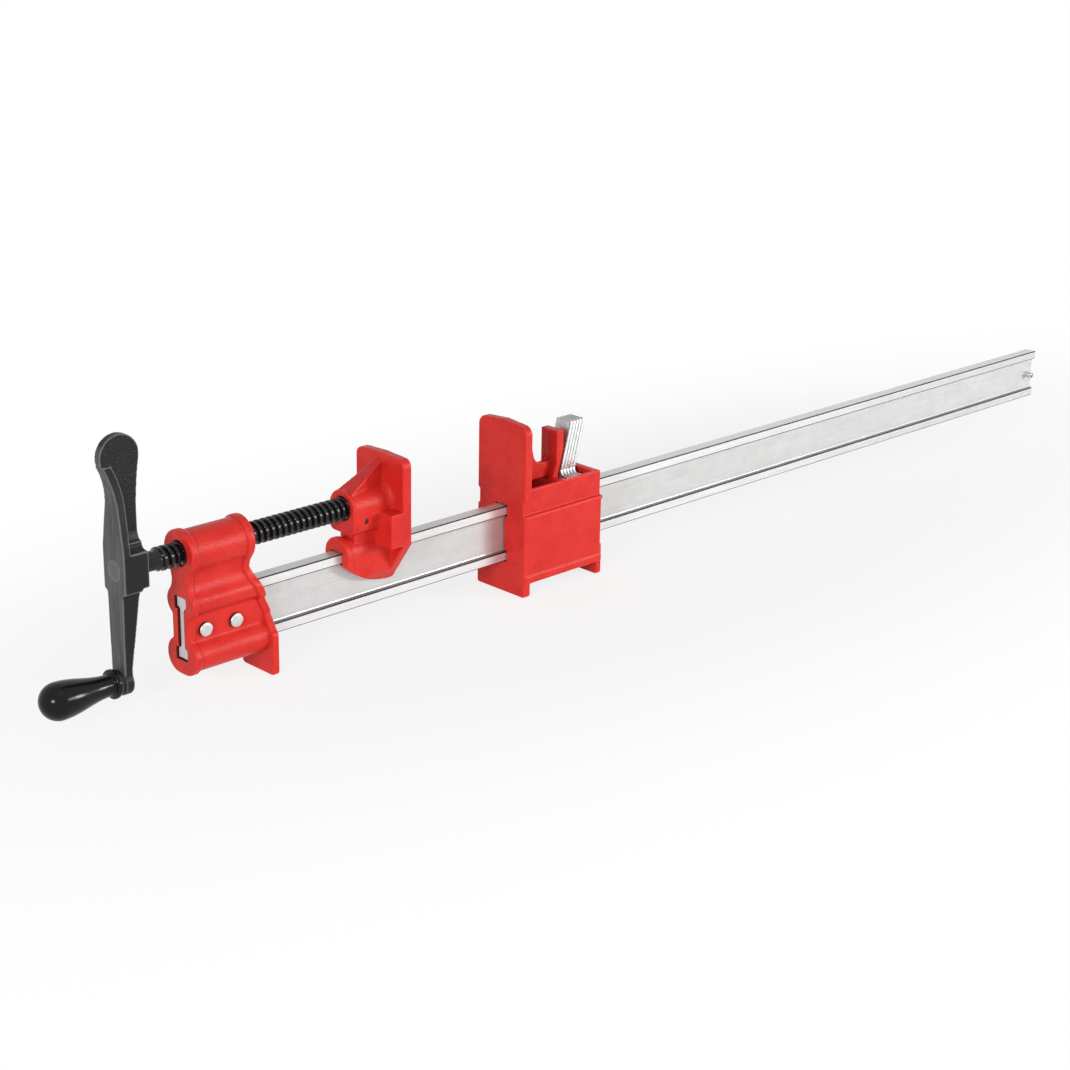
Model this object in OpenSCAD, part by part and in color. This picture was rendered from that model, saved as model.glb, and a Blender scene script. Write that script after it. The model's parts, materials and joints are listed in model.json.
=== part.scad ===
// Door clamp on an I-section steel rail.
// A screw with a crank drives a pressure plate along one end of the rail.
// A sliding jaw is set anywhere on the rail and is held by a pack of leaning clutch plates.
// X runs along the rail towards its free end, Z is up, and the clamp stands on Z = 0.
// The origin is the middle of the sole of the fixed head's foot.

/* [Rail] */
// Length of the rail
rail_len = 972; // [500:1:2500]
// Height of the I-section
rail_h = 42.5; // [38:0.5:46]
// Width of the two flanges
rail_w = 10.5; // [9:0.25:12]
// Thickness of each flange
flange_t = 7.2; // [6:0.1:8.5]
// Thickness of the web between the flanges
web_t = 5; // [4:0.1:6]
// Fillet where web and flange meet
rail_fillet = 1.8; // [0.5:0.1:2]
// Height of the rail's underside above the table
rail_lift = 24.2; // [22:0.1:28]
// Gap between the rail and each casting that it passes through
rail_gap = 0.4; // [0.3:0.05:0.8]

/* [Stop pin] */
// Outer diameter of the slotted pin near the free end
stop_d = 5.5; // [4:0.1:7]
// Wall of the slotted pin
stop_wall = 1; // [0.6:0.1:1.5]
// Width of the pin's slot
stop_slot = 0.9; // [0.5:0.1:1.2]
// Length of the pin across the web
stop_len = 20; // [14:0.5:24]
// Distance of the pin from the free end
stop_inset = 9; // [6:0.5:20]

/* [Screw] */
// Diameter of the screw
screw_d = 16.4; // [14:0.1:17]
// Height of the screw's axis above the rail
screw_h = 30.4; // [28:0.1:34]
// Radial running gap of the screw in its bores
screw_gap = 0.08; // [0.02:0.01:0.1]
// Diameter of the smooth shank next to the crank's hub
shank_d = 13; // [12:0.1:14]
// Length of that shank
shank_len = 10.5; // [6:0.5:20]
// Bevel at the screw's tip
screw_bevel = 1.2; // [0.5:0.1:2]
// Diameter of the turned end that is riveted over in the crank's hub
tenon_d = 12; // [10:0.1:14]
// Width of the ring groove that the retaining pin runs in
groove_w = 4.5; // [4.3:0.05:6]
// Depth of the ring groove
groove_depth = 1.3; // [0.8:0.05:1.6]

/* [Fixed head] */
// Length of the head from its outer face to the face of its foot
head_len = 66; // [60:0.5:80]
// Length of the threaded barrel
barrel_len = 50; // [40:0.5:56]
// Radius of the barrel
barrel_r = 14.4; // [13:0.1:16]
// Height of the raised rims above the casting's skin
rim_h = 1.5; // [0.5:0.1:2.5]
// Width of the raised rims
rim_w = 5; // [3:0.5:8]
// Radius of the bulge round the upper flange
upper_bulge_r = 8.5; // [7:0.1:10]
// Half width of the bulge round the upper flange
upper_bulge_hw = 13; // [11:0.1:15]
// Radius of the bulge round the lower flange
lower_bulge_r = 10.8; // [9:0.1:12]
// Half width of the bulge round the lower flange
lower_bulge_hw = 14.4; // [13:0.1:16]
// Half width of the flat riveted panel
panel_hw = 7.5; // [6.5:0.1:8.5]
// Radius of the hollow between the barrel and the upper bulge
waist_r = 14; // [11:0.1:18]
// Fillet at the panel's upper and lower edges
panel_fillet = 3; // [2:0.1:4]
// Width of the foot across the rail
foot_w = 35; // [30:0.5:44]
// Thickness of the foot
foot_t = 5; // [4:0.5:7]
// Corner radius of the foot
foot_r = 3; // [1:0.5:5]

/* [Rivets] */
// Diameter of the rivet shanks
rivet_d = 8; // [6:0.1:9]
// Diameter of the rivet heads
rivet_head_d = 10; // [9:0.1:12]
// How far a rivet head stands proud
rivet_head_t = 2.4; // [1.5:0.1:3]
// Distance of the first rivet from the head's outer face
rivet_first = 13.5; // [10:0.5:16]
// Distance between the two rivets
rivet_pitch = 24.5; // [20:0.5:28]
// How far the rivets sit below the rail's middle
rivet_drop = 1.4; // [0:0.1:3]

/* [Crank] */
// Gap between the crank's hub and the fixed head
crank_gap = 29.5; // [26:0.5:40]
// Length of the hub along the screw
hub_len = 19; // [15:0.5:24]
// Width of the hub
hub_w = 23; // [21:0.5:26]
// Height of the hub
hub_h = 24.4; // [20:0.2:28]
// Distance from the screw's axis to the grip's axis
crank_r = 75; // [60:0.5:78]
// Width of the lower arm at the hub
arm_w = 16.6; // [14:0.2:20]
// Width of the lower arm at its end
arm_end_w = 14.6; // [12:0.2:18]
// Depth of the lower arm at the hub
arm_t = 13.8; // [10:0.2:16]
// Depth of the lower arm at its end
arm_end_t = 6; // [5:0.2:9]
// Radius of the boss that holds the grip
arm_boss_r = 9; // [8:0.2:12]
// Height of the collar on that boss
arm_collar_t = 3; // [1:0.5:5]
// Radius of the collar on that boss
arm_collar_r = 8.2; // [6:0.2:9]
// Radius of the round thumb paddle
paddle_r = 14.4; // [12:0.2:16]
// Height of the paddle's centre above the screw's axis
paddle_h = 74; // [66:0.5:78]
// Thickness of the paddle
paddle_t = 5.6; // [4:0.2:8]
// Distance of the paddle's centre behind the crank's outer face
paddle_in = 6.3; // [3:0.1:9]
// Radius of the hollow in front of the paddle
paddle_front_r = 60; // [40:1:90]
// Depth of the upper arm at its waist
waist_t = 17; // [16:0.1:18]
// Height of that waist above the screw's axis
waist_h = 33; // [28:0.5:40]
// Height of the pedestal between hub and upper arm, above the screw's axis
pedestal_top = 18; // [16:0.5:24]
// Width of that pedestal
pedestal_w = 13; // [8:0.5:20]
// Depth of the rib on the upper arm
rib_t = 5.6; // [3:0.1:8]
// Height at which the rib runs out, above the screw's axis
rib_top = 68; // [56:0.5:70]

/* [Grip] */
// Radius of the ball end
ball_r = 12.5; // [11:0.1:15]
// Length of the grip
grip_len = 54; // [46:0.5:70]
// Radius of the neck
neck_r = 7.2; // [6:0.1:9]
// Radius of the collar at the grip's foot
grip_collar_r = 9.8; // [8:0.1:11]
// Length of the collar
grip_collar_len = 3.6; // [2:0.1:5]
// Gap between grip and arm
grip_gap = 0.3; // [0.2:0.05:0.5]
// Diameter of the steel axle
axle_d = 8; // [6:0.1:9]
// Length of the axle inside the grip
axle_len = 38; // [30:0.5:40]
// Diameter of the axle's riveted end in the arm
axle_tenon_d = 6; // [4:0.1:7]
// Radial running gap of the grip on its axle
axle_gap = 0.08; // [0.02:0.01:0.1]
// Wire of the snap ring that keeps the grip on
ring_wire = 1.4; // [1:0.1:1.8]
// Distance of the snap ring from the axle's tip
ring_inset = 5; // [3:0.5:8]

/* [Pressure plate] */
// Distance from the head's outer face to the pressing face
plate_reach = 176; // [150:0.5:185]
// Width of the pressure plate
pad_w = 50.5; // [46:0.5:56]
// Top of the plate above the rail
pad_top = 63; // [58:0.2:68]
// Rise of the plate's top edge towards the middle
pad_crown = 0.9; // [0.4:0.1:3]
// Thickness of the plate
pad_t = 7.4; // [6:0.1:9]
// Thickness of the plate's lower shoulders
shoulder_t = 18; // [12:0.5:24]
// Height of the shoulders above the rail
shoulder_top = 26; // [20:0.5:30]
// Corner radius of the plate
pad_r = 6; // [3:0.5:9]
// Height above the rail where the plate starts to narrow
pad_shoulder = 1.6; // [0:0.2:4]
// How far the plate reaches down beside the rail
pad_skirt = 27.6; // [24:0.2:31]
// Half width of the skirt's tip
pad_tip_hw = 5; // [4:0.1:6]
// Length of the boss round the screw
boss_len = 34; // [30:0.5:38]
// Radius of the boss
boss_r = 12.6; // [11.5:0.1:15]
// Height of the boss's flat underside above the rail
boss_foot = 13; // [12:0.1:15]
// Radius along the boss's lower edges
boss_edge_r = 5; // [2:0.2:6]
// Height above the rail that the ridge on the boss climbs to
pad_ridge = 59.5; // [54:0.5:60]
// Half width of that ridge at the plate
ridge_hw = 3.2; // [2:0.1:5]
// Fillet between boss and plate
boss_fillet = 5; // [2:0.2:7]
// Length of the saddle that rides on the rail
saddle_len = 39; // [37:0.2:46]
// Half width of the saddle
saddle_hw = 12.4; // [11.5:0.1:15]
// Height of the saddle's back above the rail
saddle_top = 10.6; // [9:0.1:12]
// Width of the saddle's raised rim
saddle_rim = 4.5; // [3:0.5:8]
// Height of that rim above the saddle's skin
saddle_step = 1.3; // [0.5:0.1:2]
// Half width of the web between saddle and boss
saddle_web_hw = 8; // [6:0.1:9]
// Radius of the curve along the saddle's lower edge
saddle_curve_r = 65; // [60:0.5:80]
// Solid wall between the screw's tip and the pressing face
pad_floor = 10; // [8:0.2:12]
// Diameter of the retaining pin
keeper_d = 4; // [3:0.1:4.2]
// Distance of the retaining pin from the screw's tip
keeper_inset = 19; // [12:0.5:22]

/* [Sliding jaw] */
// Distance between the two pressing faces
opening = 108.8; // [100:0.1:400]
// Width of the jaw
jaw_w = 50; // [46:0.5:56]
// Height of the jaw face
jaw_h = 130.2; // [124:0.2:140]
// Rise of the jaw face's top edge towards the middle
jaw_crown = 1.4; // [0.5:0.1:3]
// Thickness of the jaw face
jaw_t = 6.7; // [6:0.1:9]
// Corner radius of the jaw face
jaw_r = 7; // [4:0.5:10]
// Length of the jaw along the rail
jaw_len = 80; // [77:0.2:90]
// Thickness of the side walls
side_t = 4.2; // [3.5:0.1:5]
// Thickness of the rear wall
rear_t = 6; // [5:0.1:8]
// Height of the side walls' rim above the rail
side_top = 15.2; // [12:0.2:16]
// Height of the step in the side walls below the rail's top
side_step = 4; // [3:0.1:7]
// How far the side walls' upper band is set in
band_inset = 1.8; // [1:0.1:2.4]
// Height of the raised bead at the step
bead_h = 0.8; // [0.4:0.1:1.2]
// Width of the raised bead at the step
bead_w = 3; // [2:0.1:4]
// Height of the raised lip along the side walls' lower edge
lip_h = 5.4; // [3:0.2:8]
// Height of the side walls above the table
side_lift = 10.4; // [6:0.2:14]
// Thickness of the rear foot
rear_foot_t = 5; // [4:0.2:7]
// How far the rear foot stands out behind the rear wall
rear_foot_out = 2; // [0:0.1:3]
// Distance from the jaw face to the front of the thumb post
post_x = 48; // [46:0.2:52]
// Thickness of the thumb post
post_t = 6.9; // [5:0.1:8]
// Width of the thumb post
post_w = 16.7; // [14:0.1:20]
// Height of the thumb post above the rail
post_top = 48; // [42:0.5:52]
// Height above the rail of the edge that the plates rock on
post_edge = 32.5; // [28:0.5:38]
// Thickness of the web between face and post
web_rib_t = 5; // [4:0.1:7]
// Height of that web's lower edge above the rail
web_rib_low = 13; // [10:0.5:16]
// Height above the rail of the bottom of the finger gap
finger_low = 24.4; // [20:0.2:28]
// Radius of the bottom of the finger gap
finger_r = 9; // [6:0.1:10]
// Depth of the rib behind the jaw face at its top
face_rib_t = 20; // [12:0.5:22]
// Height of that rib above the rail
face_rib_h = 46; // [40:0.5:50]
// Rise of the rib's top towards the jaw face
face_rib_rise = 6; // [0:0.5:10]

/* [Clutch] */
// Number of clutch plates
plate_count = 5; // [3:1:5]
// Thickness of a clutch plate
plate_t = 3; // [2.5:0.05:3.2]
// Angle at which the plates lean back and bite
plate_lean = 15; // [12:0.5:18]
// Gap between the plates and the post's edge
plate_gap = 2.8; // [1.5:0.05:3.5]
// Gap between the plates' slots and the rail
bite_gap = 0.3; // [0.25:0.01:0.4]
// Gap between a plate's body and the jaw's side walls
plate_side_gap = 2.9; // [1.5:0.1:5]
// Width of a plate's tab
tab_w = 15; // [12:0.2:18]
// Height of the tab above the rail
tab_top = 52.5; // [48:0.5:56]
// Height of the body's shoulders above the rail
shoulder_h = 13; // [10:0.5:14]
// Fillet between body and tab
shoulder_r = 4; // [2:0.2:5]
// Strip of plate below the slot
plate_strip = 8.4; // [7:0.1:10]

/* [Spring] */
// Wire of the clutch spring
spring_wire = 1.2; // [0.8:0.05:1.4]
// Mean diameter of the spring
spring_d = 6.8; // [6:0.1:7.2]
// Number of turns
spring_turns = 6; // [4:1:7]
// Gap at each end of the spring and round its seat
spring_gap = 0.3; // [0.1:0.05:0.4]
// Length of the seat that holds the spring
seat_len = 5; // [3:0.5:8]

/* [Hidden] */

$fn = 64;
// Overrun of every cut past the face that it opens
cut = 2;
// Overlap that fuses neighbouring forms of one casting
fuse = 0.5;

// Heights above the table
rail_top = rail_lift + rail_h;
rail_mid = rail_lift + rail_h / 2;
axis_z = rail_top + screw_h;
rivet_z = rail_mid - rivet_drop;

// Places along the rail
head_x = foot_t / 2 - head_len;
foot_x = foot_t / 2;
rail_inset = rim_h;
rail_x = head_x + rail_inset;
rail_end_x = rail_x + rail_len;
stop_x = rail_end_x - stop_inset;
hub_x = head_x - crank_gap;
crank_x = hub_x - hub_len;
pad_face_x = head_x + plate_reach;
pad_back_x = pad_face_x - pad_t;
bore_end_x = pad_face_x - pad_floor;
tip_x = bore_end_x - screw_gap;
keeper_x = tip_x - keeper_inset;
jaw_x = pad_face_x + opening;
jaw_rear_x = jaw_x + jaw_len;
grip_z = axis_z - crank_r;
grip_x = crank_x - arm_collar_t - grip_gap;

// A 2D outline in Y and Z, made solid along X from x
module along_x(x, length) {
  translate([x, 0, 0])
    rotate([90, 0, 90])
      linear_extrude(height = length)
        children();
}

// A 2D outline in X and Z, made solid across Y
module across_y(width) {
  rotate([90, 0, 0])
    linear_extrude(height = width, center = true)
      children();
}

// A round bar along X
module rod_x(x, length, r) {
  translate([x, 0, 0])
    rotate([0, 90, 0])
      cylinder(h = length, r = r);
}

// A cone along X
module cone_x(x, length, r1, r2) {
  translate([x, 0, 0])
    rotate([0, 90, 0])
      cylinder(h = length, r1 = r1, r2 = r2);
}

// A 2D outline and its mirror image across the rail's middle plane
module both_sides() {
  children();
  mirror([1, 0]) children();
}

// A rectangle given by its corners
module span(x0, x1, z0, z1) {
  translate([x0, z0]) square([x1 - x0, z1 - z0]);
}

// A rectangle with round corners, given by its corners
module round_span(x0, x1, z0, z1, r) {
  span(x0 + r, x1 - r, z0, z1);
  span(x0, x1, z0 + r, z1 - r);
  for (x = [x0 + r, x1 - r])
    for (z = [z0 + r, z1 - r])
      translate([x, z]) circle(r);
}

// The point at distance ra from a and rb from b, to the right of the way from a to b
function touch(a, ra, b, rb) =
  let (d = norm(b - a), along = (ra * ra - rb * rb + d * d) / (2 * d))
  let (aside = sqrt(ra * ra - along * along), u = (b - a) / d)
  a + along * u + aside * [u[1], -u[0]];

// I-section of the rail, grown by g on every side
module i_section(g = 0) {
  w = rail_w / 2 + g;
  web = web_t / 2 + g;
  r = max(rail_fillet - g, 0.1 * rail_fillet);
  low = rail_lift + flange_t + g;
  high = rail_top - flange_t - g;
  span(-w, w, rail_lift - g, low);
  span(-w, w, high, rail_top + g);
  span(-web, web, rail_lift, rail_top);
  both_sides()
    for (z = [low, high - r])
      difference() {
        span(web - fuse, web + r, z, z + r);
        translate([web + r, z == low ? low + r : high - r]) circle(r);
      }
}

// Outline of the fixed head, grown by g on every side
module head_outline(g = 0) {
  up_y = upper_bulge_hw - upper_bulge_r;
  up_z = rail_top - flange_t / 2;
  low_y = lower_bulge_hw - lower_bulge_r;
  low_z = rail_lift + flange_t / 4;
  panel_y = panel_hw + panel_fillet;
  waist = touch([up_y, up_z], upper_bulge_r + waist_r, [0, axis_z], barrel_r + waist_r);
  waist_y = abs(waist[0]);
  up_fillet_z = up_z - sqrt(pow(upper_bulge_r + panel_fillet, 2) - pow(panel_y - up_y, 2));
  low_fillet_z = low_z + sqrt(pow(lower_bulge_r + panel_fillet, 2) - pow(panel_y - low_y, 2));

  translate([0, axis_z]) circle(barrel_r + g);
  difference() {
    polygon([[0, axis_z], [waist_y, waist[1]], [up_y, up_z], [-up_y, up_z], [-waist_y, waist[1]]]);
    both_sides() translate([waist_y, waist[1]]) circle(waist_r - g);
  }
  both_sides() {
    translate([up_y, up_z]) circle(upper_bulge_r + g);
    translate([low_y, low_z]) circle(lower_bulge_r + g);
  }
  span(-up_y, up_y, up_z - upper_bulge_r - g, up_z + upper_bulge_r + g);
  span(-low_y, low_y, low_z - lower_bulge_r - g, low_z + lower_bulge_r + g);
  span(-panel_hw - g, panel_hw + g, low_z, up_z);
  difference() {
    polygon([[up_y, up_z], [panel_y, up_fillet_z], [-panel_y, up_fillet_z], [-up_y, up_z]]);
    both_sides() translate([panel_y, up_fillet_z]) circle(panel_fillet - g);
  }
  difference() {
    polygon([[low_y, low_z], [panel_y, low_fillet_z], [-panel_y, low_fillet_z], [-low_y, low_z]]);
    both_sides() translate([panel_y, low_fillet_z]) circle(panel_fillet - g);
  }
}

// Side view of the fixed head, between its two end faces
barrel_end_x = head_x + barrel_len;
shoulder_z = axis_z - barrel_r - rim_h - rim_w / 2;
foot_top_z = rail_mid - rim_w / 4;

module head_side() {
  top = axis_z + barrel_r + 2 * rim_h;
  polygon([
    [head_x, 0], [foot_x, 0], [foot_x, foot_top_z], [barrel_end_x, shoulder_z],
    [barrel_end_x, top], [head_x, top]
  ]);
}

// Side view of the rim along the sloping end and down to the foot
module head_end_band() {
  polygon([
    [foot_x, 0], [foot_x, foot_top_z], [barrel_end_x, shoulder_z],
    [barrel_end_x, axis_z + barrel_r + 2 * rim_h],
    [barrel_end_x - rim_w, axis_z + barrel_r + 2 * rim_h],
    [barrel_end_x - rim_w, shoulder_z - rim_w / 4],
    [foot_x - foot_t, foot_top_z - rim_w / 4], [foot_x - foot_t, 0]
  ]);
}

// Front view of the foot, which spreads below the riveted panel
module foot_outline() {
  hw = foot_w / 2;
  spread_z = rail_lift + flange_t;
  round_span(-hw, hw, 0, spread_z, foot_r);
  polygon([
    [-hw, spread_z - foot_r], [hw, spread_z - foot_r],
    [panel_hw, foot_top_z], [-panel_hw, foot_top_z]
  ]);
}

module rail() {
  color("lightgray")
    difference() {
      along_x(rail_x, rail_len) i_section();
      for (x = rivet_places())
        translate([x, 0, rivet_z])
          rotate([90, 0, 0])
            cylinder(h = rail_w, d = rivet_d, center = true);
      translate([stop_x, 0, rail_mid])
        rotate([90, 0, 0])
          cylinder(h = rail_w, d = stop_d, center = true);
    }
}

function rivet_places() = [for (i = [0, 1]) head_x + rivet_first + i * rivet_pitch];

module fixed_head() {
  color("firebrick")
    difference() {
      union() {
        intersection() {
          along_x(head_x, head_len) head_outline();
          across_y(foot_w + cut) head_side();
        }
        along_x(head_x, rim_w) head_outline(rim_h);
        intersection() {
          along_x(head_x, head_len) {
            head_outline(rim_h);
            foot_outline();
          }
          across_y(foot_w + cut) head_end_band();
        }
      }
      along_x(head_x - cut, head_len + 2 * cut) i_section(rail_gap);
      translate([0, 0, axis_z]) {
        rod_x(head_x - cut, barrel_len + 2 * cut, screw_d / 2 + screw_gap);
        cone_x(head_x - screw_gap, screw_bevel, screw_d / 2 + screw_bevel, screw_d / 2);
        cone_x(
          barrel_end_x - screw_bevel + screw_gap, screw_bevel,
          screw_d / 2, screw_d / 2 + screw_bevel
        );
      }
      for (x = rivet_places())
        translate([x, 0, rivet_z])
          rotate([90, 0, 0])
            cylinder(h = foot_w, d = rivet_d, center = true);
    }
}

// Two rivets through the head and the rail's web, with a head on each side
module head_rivets() {
  dome_t = rivet_head_t / 3;
  color("silver")
    for (x = rivet_places())
      translate([x, 0, rivet_z]) {
        rotate([90, 0, 0]) cylinder(h = 2 * panel_hw, d = rivet_d, center = true);
        for (side = [0, 180])
          rotate([90, 0, side])
            translate([0, 0, panel_hw]) {
              cylinder(h = rivet_head_t - dome_t, d = rivet_head_d);
              translate([0, 0, rivet_head_t - dome_t])
                cylinder(h = dome_t, d1 = rivet_head_d, d2 = rivet_head_d - 2 * dome_t);
            }
      }
}

// Slotted pin that keeps the sliding jaw on the rail
module end_stop_pin() {
  color("silver")
    translate([stop_x, 0, rail_mid])
      rotate([90, 0, 0])
        difference() {
          cylinder(h = stop_len, d = stop_d, center = true);
          cylinder(h = stop_len + cut, d = stop_d - 2 * stop_wall, center = true);
          translate([0, -stop_slot / 2, -stop_len])
            cube([stop_d, stop_slot, 2 * stop_len]);
        }
}

// Front view of the pressure plate: round top corners, and a skirt beside the rail
module pad_outline() {
  hw = pad_w / 2;
  low = rail_top + pad_shoulder;
  crown(hw - pad_r, rail_top + pad_top, pad_crown);
  round_span(-hw, hw, low, rail_top + pad_top, pad_r);
  polygon([
    [-hw, low + pad_r], [hw, low + pad_r], [hw, low],
    [pad_tip_hw, rail_top - pad_skirt], [-pad_tip_hw, rail_top - pad_skirt], [-hw, low]
  ]);
}

// Cross-section of the boss: round above, straight sides and a flat underside
module boss_outline(g = 0) {
  r = boss_edge_r;
  hw = boss_r + g;
  foot = rail_top + boss_foot;
  translate([0, axis_z]) circle(boss_r + g);
  span(-hw, hw, foot + r, axis_z);
  span(-hw + r, hw - r, foot, axis_z);
  both_sides() translate([hw - r, foot + r]) circle(r);
}

// Ring that fillets the boss into the back of the plate
module boss_root() {
  translate([pad_back_x, 0, axis_z])
    rotate([0, -90, 0])
      rotate_extrude()
        difference() {
          translate([boss_r - fuse, -fuse]) square([boss_fillet + fuse, boss_fillet + fuse]);
          translate([boss_r + boss_fillet, boss_fillet]) circle(boss_fillet);
        }
}

// Cross-section of the saddle, shrunk by g
module saddle_outline(g = 0) {
  hw = saddle_hw - g;
  z = rail_top + saddle_top - saddle_hw;
  translate([0, z]) circle(hw);
  span(-hw, hw, rail_top - pad_skirt, z);
}

module pressure_plate() {
  boss_x = pad_back_x - boss_len;
  saddle_x = pad_back_x - saddle_len;
  web_x = boss_x + rim_w;
  shoulder_z = rail_top + shoulder_top;
  color("firebrick")
    difference() {
      union() {
        along_x(pad_back_x, pad_t) pad_outline();
        along_x(pad_face_x - shoulder_t, shoulder_t)
          span(-pad_w / 2, pad_w / 2, rail_top + pad_shoulder, shoulder_z);
        along_x(boss_x, boss_len + fuse) boss_outline();
        along_x(boss_x, rim_h) boss_outline(rim_h / 2);
        intersection() {
          boss_root();
          translate([pad_back_x - boss_len, -pad_w / 2, shoulder_z - fuse])
            cube([boss_len, pad_w, pad_top]);
        }
        along_x(web_x, pad_back_x - web_x + fuse)
          span(-saddle_web_hw, saddle_web_hw, rail_top, axis_z);
        intersection() {
          union() {
            along_x(saddle_x, saddle_rim) intersection() {
              saddle_outline();
              pad_outline();
            }
            along_x(saddle_x, saddle_len + fuse) intersection() {
              saddle_outline(saddle_step);
              pad_outline();
            }
          }
          translate([pad_face_x, 0, rail_top - pad_skirt + saddle_curve_r])
            rotate([90, 0, 0])
              cylinder(h = pad_w, r = saddle_curve_r, center = true, $fn = 128);
        }
        wedge(boss_x + rim_w / 2, axis_z + boss_r - rim_h, pad_back_x + fuse, rail_top + pad_ridge);
      }
      along_x(saddle_x - cut, saddle_len + pad_t + 2 * cut) i_section(rail_gap);
      translate([0, 0, axis_z]) {
        rod_x(boss_x - cut, bore_end_x - boss_x + cut, screw_d / 2 + screw_gap);
        cone_x(boss_x - screw_gap, screw_bevel, screw_d / 2 + screw_bevel, screw_d / 2);
      }
      keeper_hole();
    }
}

// Ridge from the boss up to the plate's top, which narrows towards the plate
module wedge(x0, z0, x1, z1) {
  intersection() {
    across_y(2 * saddle_web_hw)
      polygon([[x0, axis_z], [x0, z0], [x1, z1], [x1, axis_z]]);
    translate([0, 0, axis_z])
      linear_extrude(height = pad_top)
        polygon([
          [x0, -saddle_web_hw], [x1, -ridge_hw], [x1, ridge_hw], [x0, saddle_web_hw]
        ]);
  }
}

keeper_z = axis_z - screw_d / 2 + groove_depth - keeper_d / 2 - screw_gap;

module keeper_hole() {
  translate([keeper_x, 0, keeper_z])
    rotate([90, 0, 0])
      cylinder(h = 2 * boss_r + cut, d = keeper_d, center = true);
}

// Pin that crosses the boss and holds the screw by its ring groove
module screw_retaining_pin() {
  color("dimgray")
    translate([keeper_x, 0, keeper_z])
      rotate([90, 0, 0])
        cylinder(h = 2 * boss_r - 2 * rim_h, d = keeper_d, center = true);
}

module screw_spindle() {
  r = screw_d / 2;
  color("#202022")
    translate([0, 0, axis_z])
      difference() {
        union() {
          rod_x(crank_x, hub_len, tenon_d / 2);
          rod_x(hub_x, shank_len, shank_d / 2);
          rod_x(hub_x + shank_len, tip_x - hub_x - shank_len - screw_bevel, r);
          cone_x(tip_x - screw_bevel, screw_bevel, r, r - screw_bevel);
        }
        difference() {
          rod_x(keeper_x - groove_w / 2, groove_w, r + cut);
          rod_x(keeper_x - groove_w, 2 * groove_w, r - groove_depth);
        }
      }
}

// Half width of the rib on the crank's upper arm, as a share s of its height
function rib_hw(s) =
  let (ease = (1 - cos(180 * pow(s, 0.8))) / 2)
  hub_w / 2 * (1 - ease) + paddle_t / 2 * ease;

// Front view of the rib on the upper arm and of the face below it
module crank_face() {
  steps = 12;
  top = rib_top;
  low = hub_h / 2;
  right = [for (i = [0:steps]) [rib_hw(i / steps), axis_z + low + (top - low) * i / steps]];
  left = [for (i = [steps:-1:0]) [-right[i][0], right[i][1]]];
  polygon(concat([[-hub_w / 2, axis_z - hub_h / 2], [hub_w / 2, axis_z - hub_h / 2]], right, left));
}

// Side view of the upper arm: a round paddle on a waisted stem
module paddle_side() {
  center = [crank_x + paddle_in, axis_z + paddle_h];
  back_a = waist_t - paddle_in;
  back_b = paddle_h - waist_h;
  back_r = (back_a * back_a + back_b * back_b - paddle_r * paddle_r) / (2 * (paddle_r - back_a));
  front_drop = sqrt(
    pow(paddle_r + paddle_front_r, 2) - pow(paddle_front_r + paddle_in, 2)
  );
  front = [crank_x - paddle_front_r, center[1] - front_drop];
  back = [crank_x + waist_t + back_r, axis_z + waist_h];
  front_touch = front + (center - front) * paddle_front_r / (paddle_front_r + paddle_r);
  back_touch = back + (center - back) * back_r / (back_r + paddle_r);
  translate(center) circle(paddle_r);
  difference() {
    polygon([
      [crank_x, axis_z], [crank_x, front[1]], front_touch, center, back_touch,
      [crank_x + waist_t, axis_z + waist_h], [crank_x + hub_len, axis_z + pedestal_top],
      [crank_x + hub_len, axis_z]
    ]);
    translate(front) circle(paddle_front_r, $fn = 128);
    translate(back) circle(back_r, $fn = 256);
  }
}

// Side view of the lower arm, deep at the hub and thin at the grip
module arm_side() {
  polygon([
    [crank_x, axis_z], [crank_x, grip_z], [crank_x + arm_end_t, grip_z],
    [crank_x + arm_end_t, grip_z + arm_boss_r], [crank_x + arm_t, axis_z - hub_h / 2],
    [crank_x + arm_t, axis_z]
  ]);
}

module crank_arm() {
  step_z = axis_z - hub_h / 2 - rim_h;
  color("#2a2a2c")
    difference() {
      union() {
        translate([crank_x, -hub_w / 2, axis_z - hub_h / 2]) cube([hub_len, hub_w, hub_h]);
        across_y(paddle_t) paddle_side();
        across_y(pedestal_w) intersection() {
          paddle_side();
          span(crank_x, crank_x + hub_len, axis_z, axis_z + pedestal_top);
        }
        intersection() {
          along_x(crank_x - paddle_r, paddle_r + rib_t) crank_face();
          across_y(hub_w) paddle_side();
        }
        intersection() {
          across_y(hub_w) arm_side();
          along_x(crank_x - cut, arm_t + 2 * cut)
            polygon([
              [-hub_w / 2, axis_z], [-hub_w / 2, step_z], [-arm_w / 2, step_z - rim_h],
              [-arm_end_w / 2, grip_z], [arm_end_w / 2, grip_z], [arm_w / 2, step_z - rim_h],
              [hub_w / 2, step_z], [hub_w / 2, axis_z]
            ]);
        }
        translate([0, 0, grip_z]) {
          rod_x(crank_x, arm_end_t, arm_boss_r);
          rod_x(crank_x - arm_collar_t, arm_collar_t + fuse, arm_collar_r);
        }
      }
      translate([0, 0, axis_z]) rod_x(crank_x - cut, hub_len + 2 * cut, tenon_d / 2);
      translate([0, 0, grip_z])
        rod_x(crank_x - arm_collar_t - cut, arm_end_t + arm_collar_t + 2 * cut, axle_tenon_d / 2);
    }
}

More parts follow.
